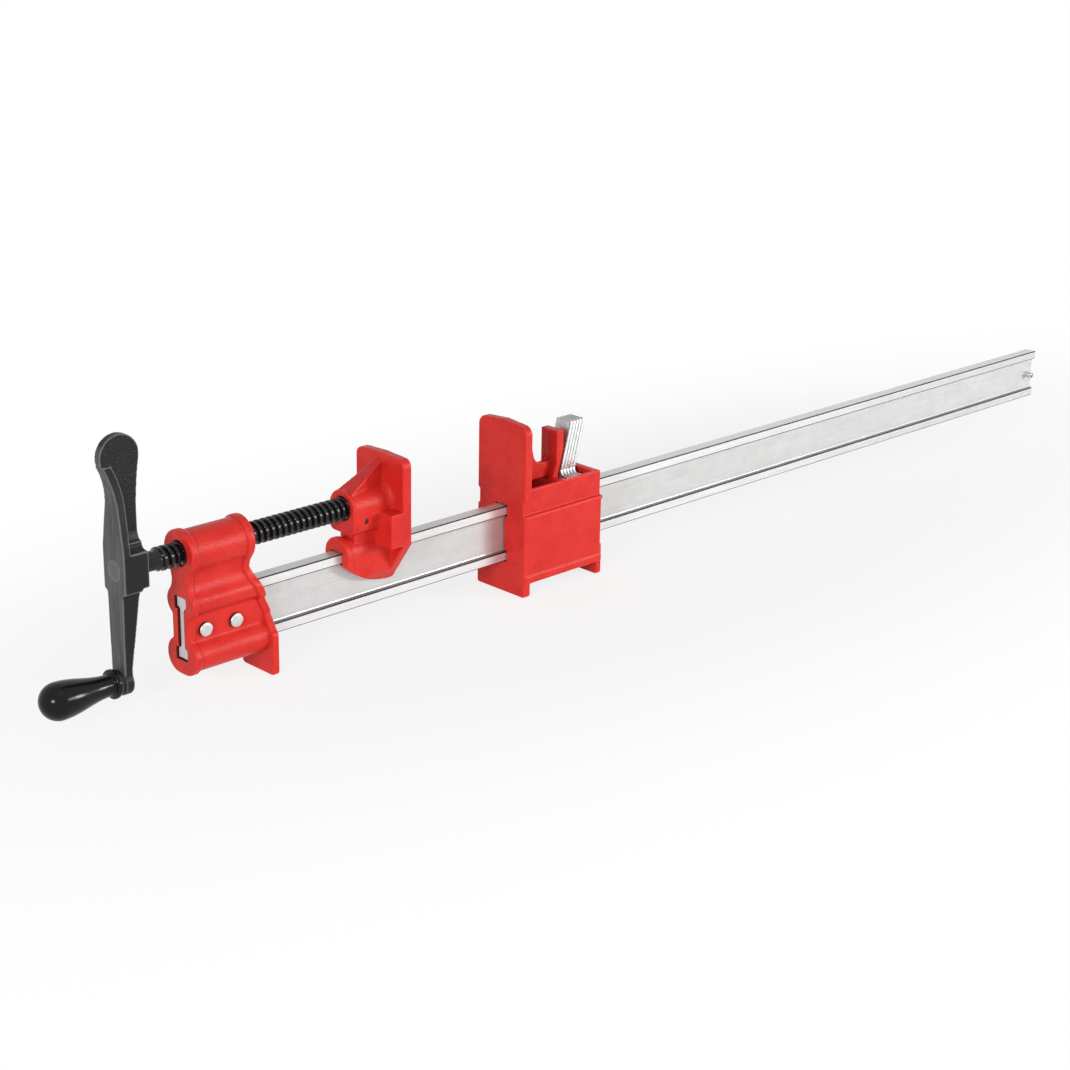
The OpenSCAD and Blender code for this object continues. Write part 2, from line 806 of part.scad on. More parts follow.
// Steel axle of the grip, riveted over in the crank's boss
module grip_axle() {
  tip = grip_x + grip_gap - axle_len;
  ring_x = tip + ring_inset;
  color("silver")
    translate([0, 0, grip_z])
      difference() {
        union() {
          rod_x(tip, axle_len, axle_d / 2);
          rod_x(crank_x - arm_collar_t, arm_collar_t + arm_end_t, axle_tenon_d / 2);
        }
        difference() {
          rod_x(ring_x - ring_wire, 2 * ring_wire, axle_d);
          rod_x(ring_x - 2 * ring_wire, 4 * ring_wire, axle_d / 2 - ring_wire / 2);
        }
      }
}

// Radius of the grip between its neck and its ball, as a share s of the way
function grip_r(s) = neck_r + (ball_r - neck_r) * (1 - cos(180 * s)) / 2;

// Turned grip with a ball end, which spins on its axle
module grip() {
  steps = 10;
  ball_x = grip_x - grip_len + ball_r;
  neck_x = grip_x - grip_collar_len;
  taper = neck_x - ball_x;
  bore_r = axle_d / 2 + axle_gap;
  bore_len = axle_len - grip_gap + cut;
  profile = [for (i = [0:steps]) [grip_r(i / steps), -grip_collar_len - taper * i / steps]];
  color("#151517")
    translate([0, 0, grip_z])
      difference() {
        union() {
          translate([ball_x, 0, 0]) sphere(ball_r);
          translate([grip_x, 0, 0])
            rotate([0, 90, 0])
              rotate_extrude()
                polygon(concat([[0, 0], [neck_r, 0]], profile, [[0, -grip_collar_len - taper]]));
          rod_x(grip_x - grip_collar_len, grip_collar_len, grip_collar_r);
        }
        rod_x(grip_x - bore_len, bore_len + cut, bore_r);
        ring_seat(ring_wire / 2 + axle_gap);
      }
}

// Ring shaped groove or ring round the grip's axle, of wire radius r
module ring_seat(r) {
  translate([grip_x + grip_gap - axle_len + ring_inset, 0, 0])
    rotate([0, 90, 0])
      rotate_extrude()
        translate([axle_d / 2 + axle_gap, 0]) circle(r, $fn = 24);
}

// Snap ring that sits in the grip and runs in the axle's groove
module grip_snap_ring() {
  color("gray")
    translate([0, 0, grip_z])
      ring_seat(ring_wire / 2 - axle_gap);
}

// Half width of the space between the jaw's side walls, and the width of a plate's body in it
jaw_inner_hw = jaw_w / 2 - side_t - band_inset / 2;
plate_w = 2 * (jaw_inner_hw - plate_side_gap);

// Places of the clutch plates: the front face of the pack at height z
lean_t = plate_t / cos(plate_lean);
post_back_x = jaw_x + post_x + post_t;
pack_edge_x = post_back_x + plate_gap;
function pack_x(z) = pack_edge_x + (z - rail_top - post_edge) * tan(plate_lean);

// Slot height that lets a leaning plate touch the rail above and below
slot_h = (rail_h + 2 * bite_gap + plate_t * sin(plate_lean)) / cos(plate_lean);
plate_low_z = rail_mid - slot_h / 2 * cos(plate_lean) - plate_strip * cos(plate_lean);

// The two slopes of a cast top edge of half width hw at height z, which meet at the parting line
module crown(hw, z, rise) {
  polygon([[-hw, z - fuse], [hw, z - fuse], [hw, z], [0, z + rise], [-hw, z]]);
}

// Front view of the jaw face, with a notch in each edge below the side walls' rim
module jaw_face_outline() {
  hw = jaw_w / 2;
  difference() {
    union() {
      crown(hw - jaw_r, jaw_h, jaw_crown);
      round_span(-hw, hw, rail_top, jaw_h, jaw_r);
      round_span(-hw, hw, 0, rail_top + 2 * jaw_r, foot_r / 2);
    }
    both_sides()
      span(hw - band_inset, hw + cut, rail_top - side_step, rail_top + side_top / 2);
  }
}

// Cross-section of the side walls
module jaw_box_outline() {
  hw = jaw_w / 2;
  step_z = rail_top - side_step;
  span(-hw, hw, side_lift, step_z);
  span(-hw + band_inset, hw - band_inset, step_z - fuse, rail_top + side_top);
}

// Round bead along each side wall at the step, and flat lip along its lower edge
module jaw_beads() {
  hw = jaw_w / 2;
  both_sides() {
    translate([hw - bead_w / 2 + bead_h, rail_top - side_step - bead_w / 2]) circle(bead_w / 2);
    span(hw - bead_w / 2, hw + bead_h, side_lift, side_lift + lip_h);
  }
}

// Side view of the web between jaw face and thumb post, with the finger gap's round bottom
module jaw_web_side() {
  left = jaw_x + jaw_t - fuse;
  right = jaw_x + post_x + fuse;
  low = rail_top + web_rib_low;
  center = [jaw_x + post_x - finger_r, rail_top + finger_low + finger_r];
  peak = [jaw_x + jaw_t + face_rib_t, rail_top + face_rib_h];
  turn = atan2(peak[1] - center[1], peak[0] - center[0]) + acos(finger_r / norm(peak - center));
  difference() {
    polygon([
      [left, low], [left, peak[1] + face_rib_rise], peak,
      center + finger_r * [cos(turn), sin(turn)], center,
      [center[0], center[1] - finger_r], [right, center[1] - finger_r], [right, low]
    ]);
    translate(center) circle(finger_r);
  }
}

// Side view of the thumb post and the cross wall below it: they lean with the plates
module post_side() {
  edge_z = rail_top + post_edge;
  low_z = rail_top - side_step - bead_w;
  back_low = pack_x(low_z) - plate_gap;
  polygon([
    [jaw_x + post_x, rail_top + post_top], [post_back_x, rail_top + post_top],
    [post_back_x, edge_z], [back_low, low_z], [back_low - post_t, low_z],
    [jaw_x + post_x, edge_z - (post_t + plate_gap)]
  ]);
}

module sliding_jaw() {
  hw = jaw_w / 2;
  back_in_x = jaw_rear_x - rear_t;
  spring_z = plate_low_z + plate_strip / 2;
  cross_top = rail_top + shoulder_h;
  inner_hw = jaw_inner_hw;
  color("firebrick")
    union() {
      difference() {
        union() {
          along_x(jaw_x, jaw_t) jaw_face_outline();
          difference() {
            along_x(jaw_x + jaw_t - fuse, jaw_len - jaw_t + fuse) jaw_box_outline();
            translate([jaw_x + jaw_t, -inner_hw, 0])
              cube([back_in_x - jaw_x - jaw_t, 2 * inner_hw, jaw_h]);
          }
          along_x(jaw_x + bead_w / 2, jaw_len - bead_w / 2 + bead_h) jaw_beads();
          along_x(jaw_rear_x + rear_foot_out - rear_foot_t, rear_foot_t)
            round_span(-hw + bead_h, hw - bead_h, 0, rail_lift, foot_r / 2);
          across_y(web_rib_t) jaw_web_side();
          across_y(post_w) post_side();
          intersection() {
            across_y(2 * inner_hw + 2 * fuse) post_side();
            translate([jaw_x, -hw, 0]) cube([jaw_len, jaw_w, cross_top]);
          }
        }
        along_x(jaw_x - cut, jaw_len + rear_foot_out + 2 * cut) i_section(rail_gap);
      }
      translate([0, 0, spring_z])
        rod_x(
          back_in_x - seat_len, seat_len + fuse,
          (spring_d - spring_wire) / 2 - spring_gap
        );
    }
}

// One clutch plate, number n of the pack, threaded on the rail by its slot
module clutch_plate(n) {
  body_top = (rail_top + shoulder_h - rail_mid) / cos(plate_lean);
  top = (rail_top + tab_top - rail_mid) / cos(plate_lean);
  low = (plate_low_z - rail_mid) / cos(plate_lean);
  body_hw = plate_w / 2;
  tab_hw = tab_w / 2;
  color("gainsboro")
    translate([pack_x(rail_mid) + (n - 0.5) * lean_t, 0, rail_mid])
      rotate([0, plate_lean, 0])
        translate([-plate_t / 2, 0, 0])
          rotate([90, 0, 90])
            linear_extrude(height = plate_t)
              difference() {
                union() {
                  round_span(-body_hw, body_hw, low, body_top, shoulder_r / 2);
                  round_span(-tab_hw, tab_hw, low + shoulder_r, top, rim_h);
                  both_sides()
                    difference() {
                      span(tab_hw - fuse, tab_hw + shoulder_r, body_top - fuse, body_top + shoulder_r);
                      translate([tab_hw + shoulder_r, body_top + shoulder_r]) circle(shoulder_r);
                    }
                }
                span(
                  -rail_w / 2 - rail_gap, rail_w / 2 + rail_gap,
                  -slot_h / 2, slot_h / 2
                );
              }
}

module clutch_plate_1() { clutch_plate(1); }
module clutch_plate_2() { clutch_plate(2); }
module clutch_plate_3() { clutch_plate(3); }
module clutch_plate_4() { clutch_plate(4); }
module clutch_plate_5() { clutch_plate(5); }

// Points of the spring's wire: rings of 6 points, 8 rings to a turn
spring_sides = 6;
spring_rings = 8;
spring_z = plate_low_z + plate_strip / 2;
spring_end_x = jaw_rear_x - rear_t - spring_gap - spring_wire / 2;
spring_start_x = pack_x(spring_z + spring_d / 2 + spring_wire) + plate_count * lean_t
  + spring_gap + spring_wire / 2;
spring_pitch = (spring_end_x - spring_start_x) / spring_turns;
echo(spring_least_gap = spring_pitch - spring_wire);

function spring_point(i, k) =
  let (turn = 360 * i / spring_rings, side = 360 * k / spring_sides)
  let (r = spring_d / 2 + spring_wire / 2 * cos(side))
  [
    spring_start_x + spring_pitch * i / spring_rings + spring_wire / 2 * sin(side),
    r * cos(turn),
    r * sin(turn)
  ];

// Compression spring that keeps the plates leaning
module clutch_spring() {
  last = spring_turns * spring_rings;
  points = [for (i = [0:last]) for (k = [0:spring_sides - 1]) spring_point(i, k)];
  walls = [
    for (i = [0:last - 1]) for (k = [0:spring_sides - 1])
      let (a = i * spring_sides + k, b = i * spring_sides + (k + 1) % spring_sides)
      each [[a, b, a + spring_sides], [b, b + spring_sides, a + spring_sides]]
  ];
  start = [for (k = [1:spring_sides - 2]) [0, k + 1, k]];
  first = last * spring_sides;
  end = [for (k = [1:spring_sides - 2]) [first, first + k, first + k + 1]];
  color("dimgray")
    translate([0, 0, spring_z])
      polyhedron(points = points, faces = concat(walls, start, end));
}

rail();
fixed_head();
head_rivets();
end_stop_pin();
pressure_plate();
screw_retaining_pin();
screw_spindle();
crank_arm();
grip_axle();
grip();
grip_snap_ring();
sliding_jaw();
clutch_spring();
clutch_plate_1();
clutch_plate_2();
clutch_plate_3();
clutch_plate_4();
clutch_plate_5();
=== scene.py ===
"""Looks of a door clamp.

Cast and painted jaws on an I-section rail, a black screw with a crank, and a pack of
clutch plates. Everything is in metres. X runs along the rail, Z is up, and the clamp
stands on Z = 0.
"""

import json
import math

import bmesh
import bpy
import numpy as np
from bpy.props import FloatProperty, FloatVectorProperty, IntProperty, PointerProperty
from mathutils import Matrix, Vector


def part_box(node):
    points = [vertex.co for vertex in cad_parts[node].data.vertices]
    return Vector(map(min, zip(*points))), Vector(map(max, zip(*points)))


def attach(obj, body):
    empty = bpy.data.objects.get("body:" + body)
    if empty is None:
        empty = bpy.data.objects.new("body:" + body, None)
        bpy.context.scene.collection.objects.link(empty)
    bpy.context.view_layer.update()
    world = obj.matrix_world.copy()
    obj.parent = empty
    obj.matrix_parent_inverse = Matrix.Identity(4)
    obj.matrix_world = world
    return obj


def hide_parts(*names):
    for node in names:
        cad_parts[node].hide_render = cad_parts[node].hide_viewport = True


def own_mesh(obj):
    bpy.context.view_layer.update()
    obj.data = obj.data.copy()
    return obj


bl_info = {
    "name": "Door Clamp",
    "version": (1, 0, 0),
    "blender": (4, 5, 0),
    "location": "View3D > Sidebar > Clamp",
    "description": "Builds the visible pieces of a door clamp and its studio",
    "category": "Add Mesh",
}

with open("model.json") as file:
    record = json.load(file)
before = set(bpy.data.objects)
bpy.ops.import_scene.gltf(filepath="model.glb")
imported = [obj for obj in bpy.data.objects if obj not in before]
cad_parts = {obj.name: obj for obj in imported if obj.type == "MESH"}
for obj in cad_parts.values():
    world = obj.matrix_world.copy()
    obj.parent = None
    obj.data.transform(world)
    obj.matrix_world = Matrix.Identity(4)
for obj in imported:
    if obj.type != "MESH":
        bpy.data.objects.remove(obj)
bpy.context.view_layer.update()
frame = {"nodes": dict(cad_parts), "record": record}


# ---------------------------------------------------------------- sizes and finishes


def length(name, description, default, low, high):
    """A length in metres that the panel shows."""
    return FloatProperty(
        name=name,
        description=description,
        default=default,
        min=low,
        max=high,
        unit="LENGTH",
    )


def passes(name, description, default):
    """A number of smoothing passes that the panel shows."""
    return IntProperty(
        name=name, description=description, default=default, min=0, max=40
    )


def swatch(name, description, red, green, blue):
    """A colour that the panel shows."""
    return FloatVectorProperty(
        name=name,
        description=description,
        default=(red, green, blue, 1.0),
        size=4,
        subtype="COLOR",
        min=0.0,
        max=1.0,
    )


def power(name, description, default):
    """A lamp's power in watts that the panel shows."""
    return FloatProperty(
        name=name,
        description=description,
        default=default,
        min=0.0,
        max=500.0,
        unit="POWER",
    )


class ClampSizes(bpy.types.PropertyGroup):
    """Sizes of the details that are shaped here."""

    casting_grid: length(
        "Casting Grid",
        "Grid on which the castings are rounded off",
        0.00055,
        0.0004,
        0.002,
    )
    casting_rounds: passes(
        "Casting Rounding", "Smoothing passes that round the castings' edges", 7
    )
    forging_rounds: passes(
        "Forging Rounding", "Smoothing passes that round the crank's edges", 5
    )
    thread_pitch: length(
        "Thread Pitch", "Travel of the screw in one turn", 0.005, 0.002, 0.008
    )
    thread_depth: length(
        "Thread Depth", "Depth of the thread's groove", 0.0024, 0.0005, 0.003
    )
    rail_flange: length(
        "Rail Flange", "Thickness of the rail's flanges", 0.0072, 0.002, 0.02
    )
    rail_web: length("Rail Web", "Thickness of the rail's web", 0.0050, 0.001, 0.02)
    # The castings' rim round the rail is grease and painted shadow of the clearance.
    rail_rim: length(
        "Rail Rim",
        "Reach of the castings' unpainted, greasy rim around the rail",
        0.0010,
        0.0,
        0.004,
    )
    rail_edge: length(
        "Rail Edge", "Bevel along the rail's drawn edges", 0.0008, 0.0001, 0.002
    )
    plate_edge: length(
        "Plate Edge", "Bevel round the stamped clutch plates", 0.0004, 0.0001, 0.001
    )
    post_draft: length(
        "Post Draft",
        "How far the middle of the thumb post's front stands out from its sides",
        0.0007,
        0.0,
        0.002,
    )


class ClampFinishes(bpy.types.PropertyGroup):
    """Colours of the finishes."""

    paint: swatch("Casting Paint", "Colour of the painted castings", 0.70, 0.030, 0.022)
    paint_deep: swatch(
        "Casting Paint, Thick",
        "Colour where the paint lies thicker",
        0.63,
        0.022,
        0.017,
    )
    # Partly painted shade: darkens the castings' corners, and the rim round the rail.
    paint_corner_shade: swatch(
        "Casting Paint, Corners",
        "Colour in the corners, where the paint has run together",
        0.42,
        0.008,
        0.007,
    )
    forging: swatch("Crank Coating", "Colour of the coated crank", 0.009, 0.009, 0.010)
    # Partly painted sheen: lightens the crank's outer face, and its edges as painted
    # highlight.
    rubbed_with_sheen: swatch(
        "Crank Coating, Rubbed",
        "Colour of the crank's outer face, where the coating is rubbed",
        0.110,
        0.110,
        0.111,
    )
    screw: swatch(
        "Blackened Screw",
        "Colour of the blackened and oiled screw",
        0.004,
        0.004,
        0.0045,
    )
    grip: swatch("Grip Plastic", "Colour of the turned grip", 0.004, 0.004, 0.0045)
    rail: swatch("Rail Steel", "Colour of the drawn rail", 0.62, 0.62, 0.615)
    plates: swatch(
        "Plate Steel", "Colour of the bright clutch plates", 0.86, 0.865, 0.865
    )
    bright: swatch("Bright Steel", "Colour of rivets and pins", 0.70, 0.70, 0.69)
    # Oiled steel, and painted shade: on the retaining pin in its hole and on the
    # rivets' sides.
    dark: swatch(
        "Dark Steel", "Colour of the spring and the retaining pin", 0.05, 0.05, 0.053
    )


class ClampStudio(bpy.types.PropertyGroup):
    """Floor and lights."""

    floor: swatch("Floor", "Colour of the floor under the clamp", 0.90, 0.90, 0.90)
    floor_glow: FloatProperty(
        name="Floor Glow",
        description="Share of plain white in the floor by the clamp, which grows to 1",
        default=0.80,
        min=0.0,
        max=1.0,
        subtype="FACTOR",
    )
    room_light: FloatProperty(
        name="Room Light",
        description="Strength of the light from all sides, less towards the ceiling",
        default=0.66,
        min=0.0,
        max=2.0,
    )
    key_light: power("Key Light", "Power of the wide panel beside the clamp", 18.0)
    edge_light: power(
        "Edge Light", "Power of the panel that draws highlights along the screw", 20.0
    )
    top_light: power("Top Light", "Power of the panel above the clamp", 2.0)
    fill_light: power("Fill Light", "Power of the panel that faces the crank", 20.5)


# ---------------------------------------------------------------- finishes


class Finish:
    """One material and the few nodes that its pattern needs."""

    def __init__(self, name):
        self.material = bpy.data.materials.new(name)
        self.material.use_nodes = True
        self.nodes = self.material.node_tree.nodes
        self.links = self.material.node_tree.links
        self.surface = self.nodes["Principled BSDF"]
        self.place = self.nodes.new("ShaderNodeTexCoord").outputs["Object"]

    def set(self, **values):
        for name, value in values.items():
            socket = name.replace("_", " ").title().replace("Ior", "IOR")
            self.surface.inputs[socket].default_value = value

    def stretched(self, scale):
        """The object's own coordinates, stretched by a scale for each axis."""
        node = self.nodes.new("ShaderNodeMapping")
        node.inputs["Scale"].default_value = scale
        self.links.new(self.place, node.inputs["Vector"])
        return node.outputs["Vector"]

    def noise(self, scale, detail=3.0, roughness=0.55, place=None):
        node = self.nodes.new("ShaderNodeTexNoise")
        node.inputs["Scale"].default_value = scale
        node.inputs["Detail"].default_value = detail
        node.inputs["Roughness"].default_value = roughness
        self.links.new(place or self.place, node.inputs["Vector"])
        return node.outputs["Fac"]

    def between(self, value, low, high, to_low=0.0, to_high=1.0):
        """value, where low to high becomes to_low to to_high."""
        node = self.nodes.new("ShaderNodeMapRange")
        node.interpolation_type = "SMOOTHSTEP"
        for name, number in (
            ("From Min", low),
            ("From Max", high),
            ("To Min", to_low),
            ("To Max", to_high),
        ):
            node.inputs[name].default_value = number
        self.links.new(value, node.inputs["Value"])
        return node.outputs["Result"]

    def maths(self, operation, a, b):
        """a and b are sockets or numbers."""
        node = self.nodes.new("ShaderNodeMath")
        node.operation = operation
        for socket, value in zip(node.inputs, (a, b)):
            if isinstance(value, (int, float)):
                socket.default_value = value
            else:
                self.links.new(value, socket)
        return node.outputs["Value"]

    def times(self, a, b):
        return self.maths("MULTIPLY", a, b)

    def plus(self, a, b):
        return self.maths("ADD", a, b)

    def square(self, a):
        return self.times(a, a)

    def split(self, vector, axis):
        node = self.nodes.new("ShaderNodeSeparateXYZ")
        self.links.new(vector, node.inputs["Vector"])
        return node.outputs[axis]

    def facing(self, axis):
        """How far the surface faces along one of the object's own axes, -1 to 1."""
        return self.split(self.place.node.outputs["Normal"], axis)

    def along(self, axis):
        """The place of a point along one of the object's own axes."""
        return self.split(self.place, axis)

    def within(self, half_width, low, high, fade=0.0002):
        """1 inside a box along the rail, of this half width, from low to high."""
        tall = (high - low) / 2
        up = self.plus(self.along("Z"), -(low + high) / 2)
        return self.times(
            self.between(
                self.square(self.along("Y")), half_width**2, (half_width - fade) ** 2
            ),
            self.between(self.square(up), tall**2, (tall - fade) ** 2),
        )

    def bend(self):
        """Below 0.5 in corners and above 0.5 on edges."""
        return self.nodes.new("ShaderNodeNewGeometry").outputs["Pointiness"]

    def colour(self, value, first, second):
        """The base colour goes from first to second with value."""
        node = self.nodes.new("ShaderNodeMix")
        node.data_type = "RGBA"
        node.inputs["A"].default_value = first
        node.inputs["B"].default_value = second
        self.links.new(value, node.inputs["Factor"])
        self.links.new(node.outputs["Result"], self.surface.inputs["Base Color"])
        return node

    def tint(self, value, colour):
        """The base colour so far turns to another colour where value is 1."""
        so_far = self.surface.inputs["Base Color"].links[0].from_socket
        node = self.colour(value, colour, colour)
        self.links.new(so_far, node.inputs["A"])

    def rough(self, value, low, high):
        self.links.new(
            self.between(value, 0.3, 0.7, low, high), self.surface.inputs["Roughness"]
        )

    def bump(self, value, depth, strength=1.0):
        """Raises the surface by depth where value is 1, on top of earlier bumps."""
        node = self.nodes.new("ShaderNodeBump")
        node.inputs["Strength"].default_value = strength
        node.inputs["Distance"].default_value = depth
        self.links.new(value, node.inputs["Height"])
        socket = self.surface.inputs["Normal"]
        if socket.links:
            self.links.new(socket.links[0].from_socket, node.inputs["Normal"])
        self.links.new(node.outputs["Normal"], socket)


def shade(colour, share):
    return [c * share for c in colour[:3]] + [1.0]


def colours():
    return bpy.context.scene.clamp_finishes


def casting_paint():
    """Thick stove enamel over a sand casting, with corners darker as painted shade,
    edges lighter as painted highlight, and a dark rim round the rail of grease and
    painted shadow.
    """
    look, sizes = colours(), bpy.context.scene.clamp_sizes
    f = Finish("red_casting_paint")
    f.set(specular_ior_level=0.18)
    f.colour(f.between(f.noise(60, 4), 0.34, 0.62), look.paint_deep, look.paint)
    # Corners darker: paint run together there, and painted shade.
    f.tint(f.times(f.between(f.bend(), 0.497, 0.46), 0.6), look.paint_corner_shade)
    # Edges lighter: thinner paint there, and painted highlight.
    f.tint(f.times(f.between(f.bend(), 0.505, 0.53), 0.6), shade(look.paint, 1.25))
    # A dark rim where the castings meet the rail: grease in the clearance, and painted
    # shadow.
    low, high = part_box("rail")
    rim = sizes.rail_rim
    flange, web = sizes.rail_flange + rim, sizes.rail_web / 2 + rim
    gap = f.plus(
        f.within(web, low.z, high.z),
        f.plus(
            f.within(high.y + rim, high.z - flange, high.z + rim),
            f.within(high.y + rim, low.z - rim, low.z + flange),
        ),
    )
    f.tint(f.times(gap, 0.92), shade(look.paint_corner_shade, 0.08))
    f.rough(f.noise(260, 3), 0.28, 0.42)
    f.bump(f.noise(170, 3), 0.00016, 0.5)
    f.bump(f.noise(430, 4, 0.65), 0.00045, 0.8)
    return f.material


def crank_coating():
    """Satin black coating on a forging, with a leathery grain on the thumb paddle."""
    look = colours()
    grain_from, grain_full = 0.024, 0.034
    grain_half, grain_fade = 0.0033, 0.0004
    f = Finish("black_crank_coating")
    middle = middle_height("screw_spindle")
    above = f.between(f.along("Z"), middle + grain_from, middle + grain_full)
    beside = f.between(
        f.square(f.along("Y")), grain_half**2, (grain_half - grain_fade) ** 2
    )
    f.set(specular_ior_level=0.18)
    f.colour(f.noise(90, 4), look.forging, shade(look.forging, 1.6))
    streaks = f.noise(1.0, 4, 0.6, f.stretched((300, 300, 30)))
    # The outer face, facing -X, lighter: rubbing of the coating with streaks, and
    # painted sheen for the light on that side.
    rubbed_with_sheen = f.between(f.facing("X"), -0.75, -0.95)
    f.tint(f.times(rubbed_with_sheen, f.between(streaks, 0.3, 0.7, 0.45, 0.9)), look.rubbed_with_sheen)
    # Corners darker: painted shade.
    f.tint(f.times(f.between(f.bend(), 0.49, 0.45), 0.8), shade(look.forging, 0.3))
    # Edges lighter: edge wear, and painted highlight.
    f.tint(f.times(f.between(f.bend(), 0.505, 0.535), 0.55), shade(look.rubbed_with_sheen, 2.2))
    f.rough(f.noise(500, 3), 0.34, 0.48)
    f.bump(f.noise(420, 3), 0.00010, 0.5)
    grain = f.noise(1.0, 4, 0.6, f.stretched((330, 330, 1000)))
    f.bump(f.times(grain, f.times(above, beside)), 0.0009, 0.9)
    return f.material


def screw_black():
    """Blackened and oiled steel."""
    look = colours()
    f = Finish("blackened_screw")
    f.set(specular_ior_level=0.15, coat_weight=0.4, coat_roughness=0.10)
    f.colour(f.noise(240, 3), look.screw, shade(look.screw, 2.0))
    f.rough(f.noise(420, 3), 0.20, 0.34)
    f.bump(f.noise(700, 2), 0.00005, 0.5)
    return f.material


def grip_plastic():
    """Polished black plastic."""
    look = colours()
    f = Finish("black_grip_plastic")
    f.set(specular_ior_level=0.18)
    f.colour(f.noise(90, 2), look.grip, shade(look.grip, 1.6))
    f.rough(f.noise(160, 3), 0.10, 0.18)
    f.bump(f.noise(120, 2), 0.00005, 0.3)
    return f.material


def steel_grain(name, colour, low, high, lines=None, metal=0.9, polish_sheen_and_shade=None):
    """Bare steel: fine grain, slight clouds, and lines where lines is their stretch."""
    f = Finish(name)
    fine = f.noise(900, 3)
    streak = f.noise(1.0, 4, 0.6, f.stretched(lines)) if lines else f.noise(320, 3)
    cloud = f.noise(70, 4)
    f.set(metallic=metal, specular_ior_level=0.5)
    mottle = f.plus(
        f.times(streak, 0.4), f.plus(f.times(cloud, 0.25), f.times(fine, 0.35))
    )
    f.colour(f.between(mottle, 0.35, 0.65), shade(colour, 0.9), shade(colour, 1.06))
    # The given function adds lighter and darker tones: polish, painted sheen and
    # painted shade.
    if polish_sheen_and_shade:
        polish_sheen_and_shade(f, f.between(streak, 0.2, 0.7, 0.6, 1.0), shade(colour, 1.28))
    f.rough(streak, low, high)
    f.bump(streak, 0.00004, 0.4)
    f.bump(fine, 0.00005, 0.4)
    return f.material


def polish_and_sheen(f, streak, colour):
    """The flanges' sides by the head are lighter, polished by the castings and painted
    sheen; the top further on is lighter as painted sheen.
    """
    low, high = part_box("rail")
    half = (high.y - low.y) / 2
    # Flange sides: polish and painted sheen.
    side = f.times(
        f.between(f.square(f.along("Y")), half**2 * 0.8, half**2 * 0.9),
        f.between(f.square(f.facing("Y")), 0.8, 0.95),
    )
    near = f.between(f.along("X"), 0.85, 0.35)
    f.tint(f.times(f.times(side, near), streak), colour)
    # Top further on: painted sheen.
    top = f.times(
        f.between(f.facing("Z"), 0.8, 0.95),
        f.between(f.along("Z"), high.z - 0.002, high.z - 0.001),
    )
    far = f.between(f.along("X"), 0.15, 0.5)
    f.tint(f.times(f.times(top, far), streak), colour)


DRAWN_LINES = (25, 1300, 1300)


def drawn_steel():
    """The rail's drawn faces."""
    return steel_grain(
        "drawn_rail_steel",
        colours().rail,
        0.32,
        0.44,
        DRAWN_LINES,
        0.45,
        polish_and_sheen,
    )


def drawn_edge():
    """The rail's rounded edges, painted dark as painted reflection: the dark line that
    rounded edges reflect.
    """
    colour = shade(colours().rail, 0.05)
    return steel_grain("drawn_rail_edge", colour, 0.32, 0.44, DRAWN_LINES, 0.6)


def drawn_corner():
    """The rail's fillets between flange and web, painted darker as painted shade."""
    colour = shade(colours().rail, 0.45)
    return steel_grain("drawn_rail_corner", colour, 0.32, 0.44, DRAWN_LINES, 0.6)


def broad_face_shade(f, streak, colour):
    """Paints the sheet's broad faces darker than the cut edges: painted shade."""
    broad = f.between(f.square(f.facing("X")), 0.6, 0.9)
    f.tint(f.times(broad, streak), shade(colour, 0.36))


def plate_steel():
    """The clutch plates' bright cut edges, and broad faces darker as painted shade."""
    return steel_grain(
        "bright_plate_steel", colours().plates, 0.26, 0.38, metal=0.8, polish_sheen_and_shade=broad_face_shade
    )


def plate_edge():
    """The clutch plates' tumbled edges, painted dark as painted shade in the seams
    between the plates.
    """
    return steel_grain("shaded_plate_edge", shade(colours().plates, 0.33), 0.3, 0.45)


def bright_steel():
    """Hammered ends of rivets and pins."""
    look = colours()
    f = Finish("bright_pin_steel")
    f.set(metallic=0.9, specular_ior_level=0.5)
    f.colour(f.noise(300, 4), shade(look.bright, 0.75), shade(look.bright, 1.1))
    f.rough(f.noise(600, 3), 0.28, 0.42)
    f.bump(f.noise(420, 3), 0.00014, 0.6)
    return f.material


def dark_steel():
    """Oiled spring steel, darkened on the retaining pin as painted shade of its hole,
    and used on the rivets' sides as painted shade.
    """
    look = colours()
    f = Finish("dark_spring_steel")
    f.set(metallic=0.8, specular_ior_level=0.5)
    f.colour(f.noise(300, 3), look.dark, shade(look.dark, 1.6))
    f.rough(f.noise(500, 3), 0.30, 0.45)
    f.bump(f.noise(800, 2), 0.00004, 0.5)
    return f.material


FINISHES = {
    "red_casting": casting_paint,
    "black_steel_forging": crank_coating,
    "black_steel": screw_black,
    "black_plastic": grip_plastic,
    "rail_steel": drawn_steel,
    "rail_edge": drawn_edge,
    "rail_corner": drawn_corner,
    "plate_steel": plate_steel,
    "plate_edge": plate_edge,
    "bright_steel": bright_steel,
    "dark_steel": dark_steel,
}
made_finishes = {}


def finish(name):
    if name not in made_finishes:
        made_finishes[name] = FINISHES[name]()
    return made_finishes[name]


# ---------------------------------------------------------------- shapes


def body_of_node(node):
    """The CAD body that a node belongs to."""
    bodies = frame["record"]["behaviour"]["bodies"]
    return next(name for name, nodes in bodies.items() if node in nodes)


def middle_height(node):
    low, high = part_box(node)
    return (low.z + high.z) / 2


def set_in_place(piece, node, look, *other_looks, slot=None):
    """The piece gets its finishes, stands for the CAD node and rides on its body."""
    kept = [0] * len(piece.data.polygons)
    if other_looks:
        piece.data.polygons.foreach_get("material_index", kept)
    piece.data.materials.clear()
    for name in (look, *other_looks):
        piece.data.materials.append(finish(name))
    piece.data.polygons.foreach_set("material_index", kept)
    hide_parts(node)
    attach(piece, body_of_node(node))


